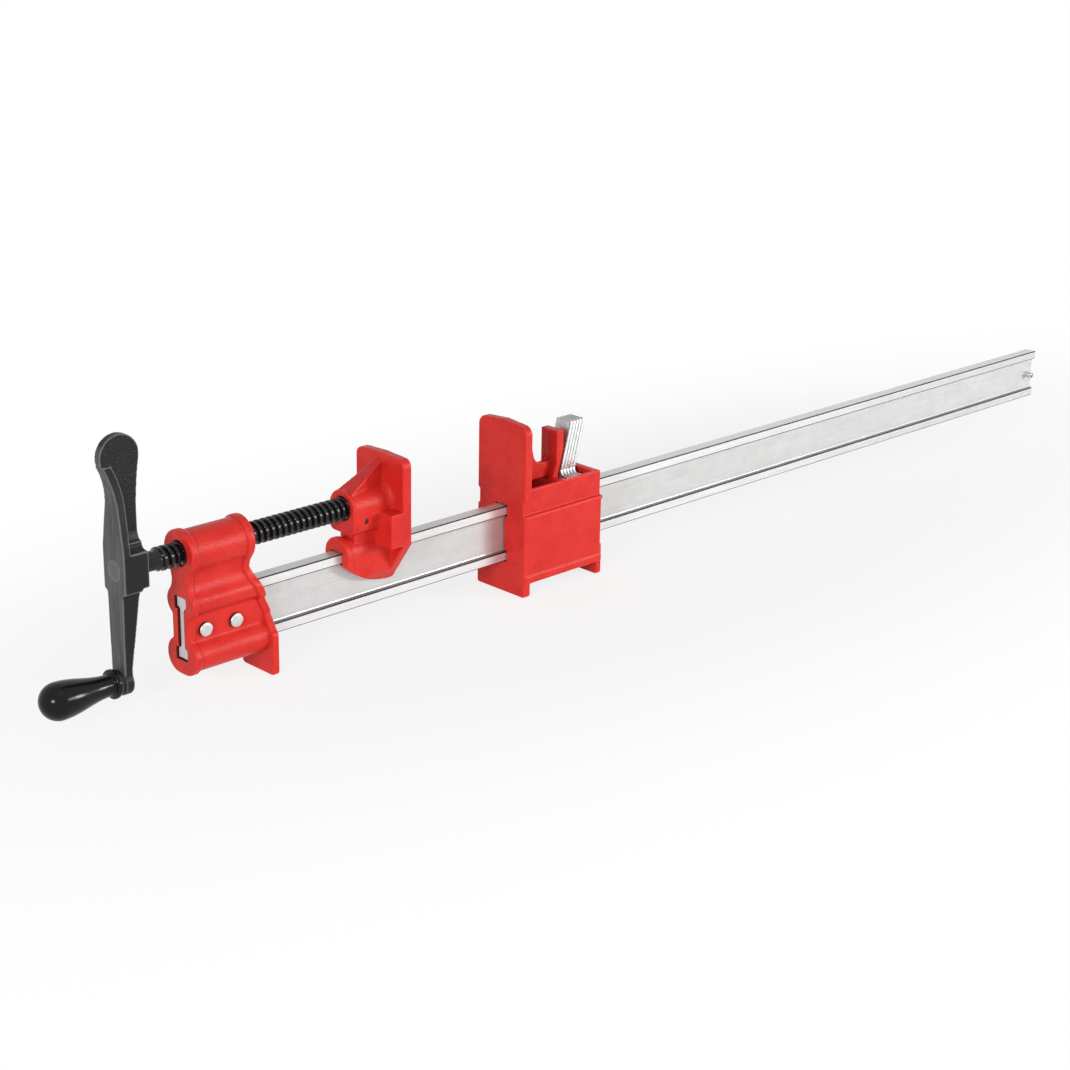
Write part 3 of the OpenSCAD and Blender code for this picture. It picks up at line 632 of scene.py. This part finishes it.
def shade_smooth(mesh):
    mesh.polygons.foreach_set("use_smooth", [True] * len(mesh.polygons))


def new_piece(name, points, faces):
    mesh = bpy.data.meshes.new(name)
    mesh.from_pydata([tuple(p) for p in points], [], faces)
    mesh.validate()
    shade_smooth(mesh)
    piece = bpy.data.objects.new(name, mesh)
    bpy.context.scene.collection.objects.link(piece)
    return piece


def copy_of_node(node, name):
    """A copy of a CAD node's mesh, joined along its edges."""
    source = frame["nodes"][node]
    piece = bpy.data.objects.new(name, source.data.copy())
    bpy.context.scene.collection.objects.link(piece)
    weld = piece.modifiers.new("weld", "WELD")
    weld.merge_threshold = 0.000002
    apply_modifiers(piece)
    return piece


def apply_modifiers(piece):
    bpy.context.view_layer.update()
    graph = bpy.context.evaluated_depsgraph_get()
    made = bpy.data.meshes.new_from_object(piece.evaluated_get(graph))
    old = piece.data
    piece.modifiers.clear()
    piece.data = made
    bpy.data.meshes.remove(old)


def points_of(piece):
    flat = np.empty(len(piece.data.vertices) * 3)
    piece.data.vertices.foreach_get("co", flat)
    return flat.reshape(-1, 3)


def move_points(piece, points):
    piece.data.vertices.foreach_set("co", points.ravel())
    piece.data.update()


def around_circle(count):
    return [2 * math.pi * k / count for k in range(count)]


def add_ring(points, more):
    """Adds more to points and returns their numbers."""
    first = len(points)
    points.extend(more)
    return range(first, len(points))


def skin(rings, flip=False):
    """Faces from each ring of point numbers to the next. A ring of one is a tip.

    flip turns the faces over, so that they point outwards.
    """
    faces = []
    for a, b in zip(rings, rings[1:]):
        count = max(len(a), len(b))
        for k in range(count):
            n = (k + 1) % count
            k, n = (n, k) if flip else (k, n)
            if len(a) == 1:
                faces.append((a[0], b[n], b[k]))
            elif len(b) == 1:
                faces.append((a[k], a[n], b[0]))
            else:
                faces.append((a[k], a[n], b[n], b[k]))
    return faces


def lofted(name, sections):
    """A solid through rings of points, closed by a flat face at each end."""
    points = []
    rings = [add_ring(points, section) for section in sections]
    faces = [tuple(reversed(rings[0])), *skin(rings), tuple(rings[-1])]
    return new_piece(name, points, faces)


def turned(name, profile, height, around=96):
    """A turned piece on an axis along X: profile is a list of (x, radius)."""
    points, rings = [], []
    for x, r in profile:
        angles = around_circle(around if r > 0 else 1)
        rings.append(
            add_ring(
                points,
                [(x, r * math.cos(a), height + r * math.sin(a)) for a in angles],
            )
        )
    return new_piece(name, points, skin(rings, flip=True))


def cast_from(node, name, rounds, keep_share, added=()):
    """A node's shape and others added, with the soft edges of a casting or forging.

    keep_share is the share of faces that stays after smoothing.
    """
    sizes = bpy.context.scene.clamp_sizes
    piece = copy_of_node(node, name)
    if added:
        mesh = bmesh.new()
        for part in (piece, *added):
            mesh.from_mesh(part.data)
        mesh.to_mesh(piece.data)
        mesh.free()
        for part in added:
            bpy.data.objects.remove(part)
    coarser = 1.0
    grid = piece.modifiers.new("grid", "REMESH")
    grid.mode = "VOXEL"
    grid.voxel_size = sizes.casting_grid * coarser
    grid.adaptivity = 0.0
    grid.use_smooth_shade = True
    soft = piece.modifiers.new("soft", "SMOOTH")
    soft.factor = 0.5
    soft.iterations = rounds
    thin = piece.modifiers.new("thin", "DECIMATE")
    thin.ratio = keep_share
    apply_modifiers(piece)
    shade_smooth(piece.data)
    return piece


def weigh_long_edges(piece, sharp):
    """Full bevel on sharp edges along X, a quarter at both ends, none round holes."""
    end_share, slack = 0.25, 0.0001
    shape = bmesh.new()
    shape.from_mesh(piece.data)
    share = shape.edges.layers.float.new("bevel_weight_edge")
    start = min(vertex.co.x for vertex in shape.verts)
    end = max(vertex.co.x for vertex in shape.verts)
    for line in shape.edges:
        if line.is_manifold and line.calc_face_angle() > sharp:
            one, other = (vertex.co for vertex in line.verts)
            if abs((other - one).normalized().x) > 0.99:
                line[share] = 1.0
            elif min(abs(one.x - start), abs(one.x - end)) < slack:
                line[share] = end_share
    shape.to_mesh(piece.data)
    shape.free()


def bevelled(node, name, width, segments=2, angle=35.0, long_edges=False):
    """A node's shape with a small bevel, in the second finish, along its sharp edges.

    With long_edges only the edges along X and those at both ends are bevelled.
    """
    sharp = math.radians(angle)
    piece = copy_of_node(node, name)
    piece.data.materials.clear()
    for _ in range(2):
        piece.data.materials.append(None)
    piece.data.polygons.foreach_set("material_index", [0] * len(piece.data.polygons))
    shade_smooth(piece.data)
    flat = piece.modifiers.new("flat", "DECIMATE")
    flat.decimate_type = "DISSOLVE"
    flat.angle_limit = math.radians(0.5)
    if long_edges:
        apply_modifiers(piece)
        weigh_long_edges(piece, sharp)
    edge = piece.modifiers.new("edge", "BEVEL")
    edge.width = width
    edge.segments = segments
    edge.limit_method = "WEIGHT" if long_edges else "ANGLE"
    edge.angle_limit = sharp
    edge.harden_normals = True
    edge.use_clamp_overlap = not long_edges
    edge.material = 1
    even = piece.modifiers.new("even", "WEIGHTED_NORMAL")
    even.weight = 100
    apply_modifiers(piece)
    return piece


def pin_from(node, name, look):
    """A pin or axle with a small bevel at its ends."""
    set_in_place(bevelled(node, name, 0.0003, angle=50), node, look)


def arc(x, r, radius, start, end, steps=6):
    """Points (x, radius from the axis) on an arc about (x, r), in degrees from +X."""
    turns = [math.radians(start + (end - start) * i / steps) for i in range(steps + 1)]
    return [(x + radius * math.cos(a), r + radius * math.sin(a)) for a in turns]


def ease(t):
    t = np.clip(t, 0, 1)
    return t * t * (3 - 2 * t)


# ---------------------------------------------------------------- pieces


class CLAMP_OT_rail(bpy.types.Operator):
    """Makes the drawn I-section rail with its softly bevelled edges"""

    bl_idname = "clamp.rail"
    bl_label = "Rail"

    def execute(self, context):
        edge = context.scene.clamp_sizes.rail_edge
        rail = bevelled("rail", "drawn_rail", edge, segments=3, long_edges=True)
        low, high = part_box("rail")
        margin = 0.001
        # Faces by the web that face up or down take the darker corner finish, painted
        # shade.
        for face in rail.data.polygons:
            inside = low.z + margin < face.center.z < high.z - margin
            by_web = abs(face.center.y) < high.y * 0.85 and abs(face.normal.x) < 0.5
            if inside and by_web:
                face.material_index = 2 if abs(face.normal.z) > 0.5 else 0
        set_in_place(rail, "rail", "rail_steel", "rail_edge", "rail_corner")
        return {"FINISHED"}


class CLAMP_OT_fixed_head(bpy.types.Operator):
    """Makes the red head that is riveted on the rail"""

    bl_idname = "clamp.fixed_head"
    bl_label = "Fixed Head"

    def execute(self, context):
        rounds = context.scene.clamp_sizes.casting_rounds
        head = cast_from("fixed_head", "cast_head", rounds, keep_share=0.6)
        set_in_place(head, "fixed_head", "red_casting")
        return {"FINISHED"}


class CLAMP_OT_rivets(bpy.types.Operator):
    """Makes the two rivets with hammered heads"""

    bl_idname = "clamp.rivets"
    bl_label = "Rivets"

    def execute(self, context):
        low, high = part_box("head_rivets")
        mesh = points_of(frame["nodes"]["head_rivets"])
        between = (low.x + high.x) / 2
        points, faces = [], []
        for number, part in enumerate(
            (mesh[mesh[:, 0] < between], mesh[mesh[:, 0] > between])
        ):
            centre_x = (part[:, 0].min() + part[:, 0].max()) / 2
            wobble = np.random.default_rng(11 + number).uniform(-1, 1, 5)
            self.add_rivet(points, faces, centre_x, low, high, wobble)
        rivets = new_piece("hammered_rivets", points, faces)
        # The rivets' sides take the dark steel: painted shade round the heads.
        for face in rivets.data.polygons:
            face.material_index = 1 if abs(face.normal.y) < 0.5 else 0
        set_in_place(rivets, "head_rivets", "bright_steel", "dark_steel")
        return {"FINISHED"}

    def add_rivet(self, points, faces, centre_x, low, high, wobble):
        """One rivet across the rail, its two heads slightly out of round."""
        proud, hidden, round_r, chamfer = 0.0024, 0.0008, 0.0011, 0.0002
        crown, tip, uneven_share, around = 0.00003, 0.00005, 0.012, 56
        centre_z = (low.z + high.z) / 2
        head_r = (high.z - low.z) / 2
        shank_r = head_r * 0.8
        seat = high.y - proud
        top = seat + proud
        half = [(seat - hidden, shank_r), (seat, shank_r), (seat, head_r - chamfer)]
        half += [(seat + chamfer, head_r)]
        half += arc(top - round_r, head_r - round_r, round_r, 90, 12)
        half += [(top + crown, head_r * 0.45), (top + tip, 0)]
        rings = []
        for y, r in [(-y, r) for y, r in reversed(half)] + half:
            ring = []
            for a in around_circle(around if r else 1):
                waves = (
                    w * math.sin((i + 2) * a + 3 * w) for i, w in enumerate(wobble)
                )
                out = r if abs(y) < seat else r * (1 + uneven_share * sum(waves))
                ring.append(
                    (centre_x + out * math.cos(a), y, centre_z + out * math.sin(a))
                )
            rings.append(add_ring(points, ring))
        faces += skin(rings, flip=True)


class CLAMP_OT_stop_pin(bpy.types.Operator):
    """Makes the slotted pin near the rail's free end"""

    bl_idname = "clamp.stop_pin"
    bl_label = "Stop Pin"

    def execute(self, context):
        pin_from("end_stop_pin", "slotted_stop_pin", "bright_steel")
        return {"FINISHED"}


class CLAMP_OT_pressure_plate(bpy.types.Operator):
    """Makes the red plate that the screw pushes along the rail"""

    bl_idname = "clamp.pressure_plate"
    bl_label = "Pressure Plate"

    def execute(self, context):
        rounds = context.scene.clamp_sizes.casting_rounds
        plate = cast_from(
            "pressure_plate", "cast_pressure_plate", rounds, keep_share=0.6
        )
        set_in_place(plate, "pressure_plate", "red_casting")
        return {"FINISHED"}


class CLAMP_OT_retaining_pin(bpy.types.Operator):
    """Makes the pin that holds the screw in the pressure plate"""

    bl_idname = "clamp.retaining_pin"
    bl_label = "Retaining Pin"

    def execute(self, context):
        pin_from("screw_retaining_pin", "retaining_pin", "dark_steel")
        return {"FINISHED"}


class CLAMP_OT_spindle(bpy.types.Operator):
    """Makes the black screw with its right-hand thread"""

    bl_idname = "clamp.spindle"
    bl_label = "Screw Spindle"

    def execute(self, context):
        sizes = context.scene.clamp_sizes
        pitch = sizes.thread_pitch
        low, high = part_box("screw_spindle")
        middle = middle_height("screw_spindle")
        hub_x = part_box("crank_arm")[1].x
        major = (high.z - low.z) / 2 - 0.0001
        minor = major - sizes.thread_depth
        tenon_r, shank_r, shank_end, groove_r, groove_from, groove_to = self.measure(
            major, minor, hub_x
        )
        in_boss = 0.011
        thread_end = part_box("pressure_plate")[0].x + in_boss
        around, per_turn = 72, 18
        angles = np.arange(around) * 2 * math.pi / around
        crest, flank = 0.30, 0.38
        run_in, run_out, shoulder = 1.1 * pitch, 0.9 * pitch, 0.003

        def thread(x):
            """The radii round the screw at x."""
            turns = (x / pitch - angles / (2 * math.pi)) % 1.0
            tooth = ease((np.abs(turns - 0.5) * 2 - crest) / flank)
            cut = ease((x - shank_end) / run_in) * ease((thread_end - x) / run_out)
            full = shank_r + (major - shank_r) * ease((x - shank_end) / shoulder)
            root = min(minor, full)
            return full * (1 - cut) + (root + (major - root) * tooth) * cut

        steps = int((thread_end - shank_end) / pitch * per_turn)
        bevel, soft = 0.0012, 0.0004
        rings = [
            (low.x, tenon_r - 2 * soft),
            (low.x + soft / 5, tenon_r - soft),
            (low.x + soft, tenon_r),
            (hub_x, tenon_r),
            (hub_x + 0.00001, shank_r - soft),
            (hub_x + soft, shank_r),
            (shank_end, shank_r),
            *((x, thread(x)) for x in np.linspace(shank_end, thread_end, steps)[1:]),
            (groove_from - soft / 2, major),
            (groove_from, major - soft / 2),
            (groove_from, groove_r + soft / 2),
            (groove_from + soft / 2, groove_r),
            (groove_to - soft / 2, groove_r),
            (groove_to, groove_r + soft / 2),
            (groove_to, major - soft / 2),
            (groove_to + soft / 2, major),
            (high.x - bevel, major),
            (high.x, major - bevel),
            (high.x, major - bevel - soft),
        ]
        points = []
        numbers = [add_ring(points, [(low.x, 0, middle)])]
        for x, r in rings:
            ring = [
                (x, radius * math.cos(a), middle + radius * math.sin(a))
                for radius, a in zip(np.broadcast_to(r, around), angles)
            ]
            numbers.append(add_ring(points, ring))
        numbers.append(add_ring(points, [(high.x, 0, middle)]))
        screw = new_piece("threaded_spindle", points, skin(numbers))
        screw.data.set_sharp_from_angle(angle=math.radians(50))
        for face in screw.data.polygons:
            face.material_index = 1 if face.center.x < hub_x else 0
        set_in_place(screw, "screw_spindle", "black_steel", "black_steel_forging")
        return {"FINISHED"}

    def measure(self, major, minor, hub_x):
        """Radii and places of the CAD screw's tenon, shank and ring groove."""
        low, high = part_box("screw_spindle")
        longest_shank, before_groove, behind_groove, hair = 0.03, 0.12, 0.005, 1e-5
        source = points_of(frame["nodes"]["screw_spindle"])
        x = source[:, 0]
        radii = np.hypot(source[:, 1], source[:, 2] - middle_height("screw_spindle"))
        thin = radii < major - 0.0005
        on_shank = (x > hub_x - 0.0001) & (x < hub_x + longest_shank) & thin
        shank_end = x[on_shank].max()
        tenon_r = radii[x < hub_x - 0.001].max()
        shank_r = radii[(np.abs(x - shank_end) < hair) & thin].max()
        groove = x[(radii > minor) & (radii < major - 0.0008)]
        after, before = low.x + before_groove, high.x - behind_groove
        groove = groove[(groove > after) & (groove < before)]
        groove_from, groove_to = groove.min(), groove.max()
        groove_r = radii[np.abs(x - groove_from) < hair].min()
        return tenon_r, shank_r, shank_end, groove_r, groove_from, groove_to


class CLAMP_OT_crank(bpy.types.Operator):
    """Makes the forged crank with its thumb paddle and the rib along its front"""

    bl_idname = "clamp.crank"
    bl_label = "Crank"

    def execute(self, context):
        rounds = context.scene.clamp_sizes.forging_rounds
        added = [self.rib(), self.root()]
        crank = cast_from(
            "crank_arm", "forged_crank", rounds, keep_share=0.8, added=added
        )
        set_in_place(crank, "crank_arm", "black_steel_forging", slot="black_steel")
        return {"FINISHED"}

    def edge(self, z, way):
        """Where the CAD crank's middle plane ends at height z, front or back."""
        outside = 0.05
        source = frame["nodes"]["crank_arm"]
        low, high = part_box("crank_arm")
        start = low.x - outside if way > 0 else high.x + outside
        hit, place, _, _ = source.ray_cast((start, 0, z), (way, 0, 0))
        if not hit:
            raise RuntimeError("the crank has no edge at this height")
        return place.x

    def bar(self, name, count, section):
        """A bar up the crank: section gives (z, half width, front, back) for 0 to 1."""
        stations = []
        for i in range(count):
            z, half, front, back = section(i / (count - 1))
            stations.append(
                [(front, -half, z), (back, -half, z), (back, half, z), (front, half, z)]
            )
        return lofted(name, stations)

    def rib(self):
        """Follows the front edge and tapers from the hub's width to the paddle's."""
        foot = middle_height("screw_spindle") + 0.014
        height, depth, deeper = 0.0695 - 0.014, 0.0056, 0.0012
        hub_half, paddle_half = 0.0108, 0.0041

        def section(share):
            z = foot + height * share
            slim = ease(share**0.9)
            front = self.edge(z, 1) + 0.0001
            half = hub_half * (1 - slim) + paddle_half * slim
            return z, half, front, front + depth + deeper * slim

        return self.bar("rib", 25, section)

    def root(self):
        """Runs the paddle's foot out over the hub in a hollow curve."""
        foot, height = middle_height("screw_spindle") + 0.0110, 0.017
        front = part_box("crank_arm")[1].x - 0.0155
        top_half, spread = 0.0026, 0.0075

        def section(share):
            z = foot + height * share
            half = top_half + spread * (1 - share) ** 2.2
            return z, half, front, self.edge(z, -1) - 0.0001

        return self.bar("root", 13, section)


class CLAMP_OT_grip(bpy.types.Operator):
    """Makes the turned grip, its axle and its snap ring"""

    bl_idname = "clamp.grip"
    bl_label = "Grip"

    def execute(self, context):
        low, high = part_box("grip")
        ball = (high.z - low.z) / 2
        foot = high.x
        ball_x = low.x + ball
        neck, collar, collar_len = 0.0072, 0.0098, 0.0036
        soft, hollow = 0.0012, 0.0009
        axle_low, axle_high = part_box("grip_axle")
        bore = (axle_high.z - axle_low.z) / 2 + 0.0001
        bore_end = axle_low.x - 0.001
        back = foot - collar_len
        profile = [(bore_end, 0), (bore_end, bore * 0.5), (bore_end, bore)]
        profile += [(foot - 0.0001, bore), (foot, bore + 0.0003), (foot, collar - soft)]
        profile += arc(foot - soft, collar - soft, soft, 0, 90, 5)
        profile += arc(back + soft, collar - soft, soft, 90, 180, 5)
        profile += arc(back - hollow, neck + hollow, hollow, 0, -90, 4)
        start = back - hollow
        for s in np.linspace(0, 1, 23)[1:]:
            swell = (1 - math.cos(math.pi * s)) / 2
            profile.append((start + (ball_x - start) * s, neck + (ball - neck) * swell))
        profile += [
            (ball_x - ball * math.sin(t), ball * math.cos(t))
            for t in np.linspace(0.06, math.pi / 2, 22)[:-1]
        ]
        profile += [(low.x, 0)]
        grip = turned("turned_grip", profile, middle_height("grip"))
        set_in_place(grip, "grip", "black_plastic")
        pin_from("grip_axle", "riveted_axle", "bright_steel")
        ring = bevelled("grip_snap_ring", "snap_ring", 0.00001, segments=1, angle=80)
        set_in_place(ring, "grip_snap_ring", "dark_steel")
        return {"FINISHED"}


class CLAMP_OT_sliding_jaw(bpy.types.Operator):
    """Makes the red box casting that slides on the rail"""

    bl_idname = "clamp.sliding_jaw"
    bl_label = "Sliding Jaw"

    def execute(self, context):
        sizes = context.scene.clamp_sizes
        jaw = cast_from(
            "sliding_jaw", "cast_sliding_jaw", sizes.casting_rounds, keep_share=0.45
        )
        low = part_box("sliding_jaw")[0]
        above_rail, post_half = 0.026, 0.0084
        front_from, front_to = low.x + 0.044, low.x + 0.0495
        points = points_of(jaw)
        x, aside, z = points[:, 0], np.abs(points[:, 1]), points[:, 2]
        on_front = (
            (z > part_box("rail")[1].z + above_rail)
            & (aside < post_half)
            & (x > front_from)
            & (x < front_to)
        )
        points[on_front, 0] -= sizes.post_draft * (1 - aside[on_front] / post_half)
        move_points(jaw, points)
        set_in_place(jaw, "sliding_jaw", "red_casting")
        return {"FINISHED"}


class CLAMP_OT_clutch_plates(bpy.types.Operator):
    """Makes the five stamped plates that bite on the rail"""

    bl_idname = "clamp.clutch_plates"
    bl_label = "Clutch Plates"

    def execute(self, context):
        edge = context.scene.clamp_sizes.plate_edge
        for number in range(1, 6):
            node = f"clutch_plate_{number}"
            plate = bevelled(node, f"stamped_plate_{number}", edge)
            set_in_place(plate, node, "plate_steel", "plate_edge")
        return {"FINISHED"}


class CLAMP_OT_clutch_spring(bpy.types.Operator):
    """Makes the coiled spring behind the clutch plates"""

    bl_idname = "clamp.clutch_spring"
    bl_label = "Clutch Spring"

    def execute(self, context):
        low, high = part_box("clutch_spring")
        middle = middle_height("clutch_spring")
        wire = 0.0006
        coil = (high.z - low.z) / 2 - wire
        turns, per_turn, sides = 6, 28, 10
        start, end = low.x + wire, high.x - wire
        steps = turns * per_turn
        sections = []
        for i in range(steps + 1):
            a = 2 * math.pi * i / per_turn
            x = start + (end - start) * i / steps
            out = Vector((0, math.cos(a), math.sin(a)))
            section = []
            for b in around_circle(sides):
                p = out * (coil + wire * math.cos(b))
                section.append((x + wire * math.sin(b), p.y, middle + p.z))
            sections.append(section)
        spring = lofted("coiled_spring", sections)
        spring.data.flip_normals()
        set_in_place(spring, "clutch_spring", "dark_steel")
        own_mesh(spring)
        return {"FINISHED"}


# ---------------------------------------------------------------- studio


def add_lamp(name, watts, place, size):
    """An upright or hanging panel that faces the middle of the clamp's near half."""
    aim = Vector((0.2, 0, 0.07))
    data = bpy.data.lights.new(name, "AREA")
    data.energy = watts
    data.shape = "RECTANGLE"
    data.size, data.size_y = size
    lamp = bpy.data.objects.new(name, data)
    lamp.location = place
    lamp.rotation_mode = "QUATERNION"
    lamp.rotation_quaternion = (aim - Vector(place)).to_track_quat("-Z", "Y")
    bpy.context.scene.collection.objects.link(lamp)


def seen_plainly(nodes, links):
    """1 for what the camera sees, also through or in another surface, 0 for light."""
    path = nodes.new("ShaderNodeLightPath")
    total = path.outputs["Is Camera Ray"]
    for name in ("Is Glossy Ray", "Is Transmission Ray"):
        add = nodes.new("ShaderNodeMath")
        add.operation = "MAXIMUM"
        links.new(total, add.inputs[0])
        links.new(path.outputs[name], add.inputs[1])
        total = add.outputs["Value"]
    return total


def mixed(nodes, links, first, second, output):
    """A surface of two shaders. Returns the socket for the second one's share."""
    mix = nodes.new("ShaderNodeMixShader")
    links.new(first, mix.inputs[1])
    links.new(second, mix.inputs[2])
    links.new(mix.outputs["Shader"], nodes[output].inputs["Surface"])
    return mix.inputs[0]


class CLAMP_OT_studio(bpy.types.Operator):
    """Makes the floor, the soft light and the camera at the photograph's angle"""

    bl_idname = "clamp.studio"
    bl_label = "Studio"

    def execute(self, context):
        scene = context.scene
        studio = scene.clamp_studio
        self.add_floor(studio)
        self.add_room(scene, studio)
        add_lamp("key_panel", studio.key_light, (1.5, -2.0, 0.66), (0.9, 0.4))
        add_lamp("edge_panel", studio.edge_light, (1.9, -1.9, 0.5), (0.45, 0.55))
        add_lamp("top_panel", studio.top_light, (0.0, -1.2, 2.2), (1.4, 1.0))
        add_lamp("fill_panel", studio.fill_light, (-1.8, -0.85, 0.72), (0.6, 0.45))
        self.add_camera(scene)
        scene.view_settings.view_transform = "Standard"
        return {"FINISHED"}

    def add_floor(self, studio):
        """A round floor whose rings lie closer together under the clamp."""
        reach, rings, around = 9.0, 14, 64
        middle = Vector((0.38, 0, -0.0002))
        points = []
        numbers = [add_ring(points, [tuple(middle)])]
        for ring in range(1, rings + 1):
            r = reach * (ring / rings) ** 2
            numbers.append(
                add_ring(
                    points,
                    [
                        (middle.x + r * math.cos(a), r * math.sin(a), middle.z)
                        for a in around_circle(around)
                    ],
                )
            )
        floor = new_piece("studio_floor", points, skin(numbers, flip=True))
        f = Finish("pale_floor")
        nodes, links = f.nodes, f.links
        f.set(base_color=studio.floor, roughness=0.9, specular_ior_level=0.1)
        glow = nodes.new("ShaderNodeEmission")
        glow.inputs["Strength"].default_value = 1.0
        squeeze = 0.4
        glow_from, glow_full = 0.10, 0.42
        far = nodes.new("ShaderNodeVectorMath")
        far.operation = "DISTANCE"
        far.inputs[1].default_value = (middle.x * squeeze, middle.y, middle.z)
        links.new(f.stretched((squeeze, 1, 1)), far.inputs[0])
        white = f.between(
            far.outputs["Value"], glow_from, glow_full, studio.floor_glow, 1.0
        )
        share = mixed(
            nodes,
            links,
            f.surface.outputs["BSDF"],
            glow.outputs["Emission"],
            "Material Output",
        )
        links.new(f.times(white, seen_plainly(nodes, links)), share)
        floor.data.materials.append(f.material)

    def add_room(self, scene, studio):
        """Light from all sides, weaker from above, before a plain white backdrop."""
        ceiling_share = 0.2
        world = bpy.data.worlds.new("studio_room")
        scene.world = world
        world.use_nodes = True
        nodes, links = world.node_tree.nodes, world.node_tree.links
        room = nodes["Background"]
        room.inputs["Color"].default_value = (1, 1, 1, 1)
        way = nodes.new("ShaderNodeTexCoord").outputs["Generated"]
        height = nodes.new("ShaderNodeSeparateXYZ")
        links.new(way, height.inputs["Vector"])
        fall = nodes.new("ShaderNodeMapRange")
        fall.inputs["To Min"].default_value = studio.room_light
        fall.inputs["To Max"].default_value = studio.room_light * ceiling_share
        links.new(height.outputs["Z"], fall.inputs["Value"])
        links.new(fall.outputs["Result"], room.inputs["Strength"])
        white = nodes.new("ShaderNodeBackground")
        white.inputs["Color"].default_value = (1, 1, 1, 1)
        white.inputs["Strength"].default_value = 1.0
        share = mixed(
            nodes,
            links,
            room.outputs["Background"],
            white.outputs["Background"],
            "World Output",
        )
        links.new(seen_plainly(nodes, links), share)

    def add_camera(self, scene):
        """The camera that was solved from the photograph."""
        focal_pixels, photo_pixels = 2147.03, 1070
        angles = (44.76, 19.47, 1.12)
        place = Vector((-0.80667, -1.07224, 0.56853))
        data = bpy.data.cameras.new("photo_camera")
        data.sensor_width = 36.0
        data.lens = focal_pixels / photo_pixels * data.sensor_width
        data.clip_start, data.clip_end = 0.05, 50.0
        camera = bpy.data.objects.new("photo_camera", data)
        yaw, pitch, roll = (math.radians(v) for v in angles)
        ahead = Vector((math.sin(yaw), math.cos(yaw), 0)) * math.cos(pitch)
        ahead.z = -math.sin(pitch)
        right = Vector((math.cos(yaw), -math.sin(yaw), 0))
        up = right.cross(ahead)
        rolled_right = right * math.cos(roll) + up * math.sin(roll)
        rolled_up = up * math.cos(roll) - right * math.sin(roll)
        columns = Matrix((rolled_right, rolled_up, -ahead)).transposed()
        camera.matrix_world = Matrix.Translation(place) @ columns.to_4x4()
        scene.collection.objects.link(camera)
        scene.camera = camera


# ---------------------------------------------------------------- panel and start

PIECES = (
    CLAMP_OT_rail,
    CLAMP_OT_fixed_head,
    CLAMP_OT_rivets,
    CLAMP_OT_stop_pin,
    CLAMP_OT_pressure_plate,
    CLAMP_OT_retaining_pin,
    CLAMP_OT_spindle,
    CLAMP_OT_crank,
    CLAMP_OT_grip,
    CLAMP_OT_sliding_jaw,
    CLAMP_OT_clutch_plates,
    CLAMP_OT_clutch_spring,
    CLAMP_OT_studio,
)


class CLAMP_PT_pieces(bpy.types.Panel):
    """Sizes, finishes and pieces of the clamp"""

    bl_idname = "CLAMP_PT_pieces"
    bl_label = "Door Clamp"
    bl_space_type = "VIEW_3D"
    bl_region_type = "UI"
    bl_category = "Clamp"

    def draw(self, context):
        layout = self.layout
        for group in ("clamp_sizes", "clamp_finishes", "clamp_studio"):
            values = getattr(context.scene, group)
            box = layout.box()
            for name in values.__annotations__:
                box.prop(values, name)
        for piece in PIECES:
            layout.operator(piece.bl_idname)


GROUPS = (
    ("clamp_sizes", ClampSizes),
    ("clamp_finishes", ClampFinishes),
    ("clamp_studio", ClampStudio),
)


def register():
    for name, group in GROUPS:
        bpy.utils.register_class(group)
        setattr(bpy.types.Scene, name, PointerProperty(type=group))
    for piece in (*PIECES, CLAMP_PT_pieces):
        bpy.utils.register_class(piece)


def unregister():
    for piece in reversed((*PIECES, CLAMP_PT_pieces)):
        bpy.utils.unregister_class(piece)
    for name, group in reversed(GROUPS):
        delattr(bpy.types.Scene, name)
        bpy.utils.unregister_class(group)


def main():
    register()
    for piece in PIECES:
        group, name = piece.bl_idname.split(".")
        getattr(getattr(bpy.ops, group), name)()


if __name__ == "__main__":
    main()
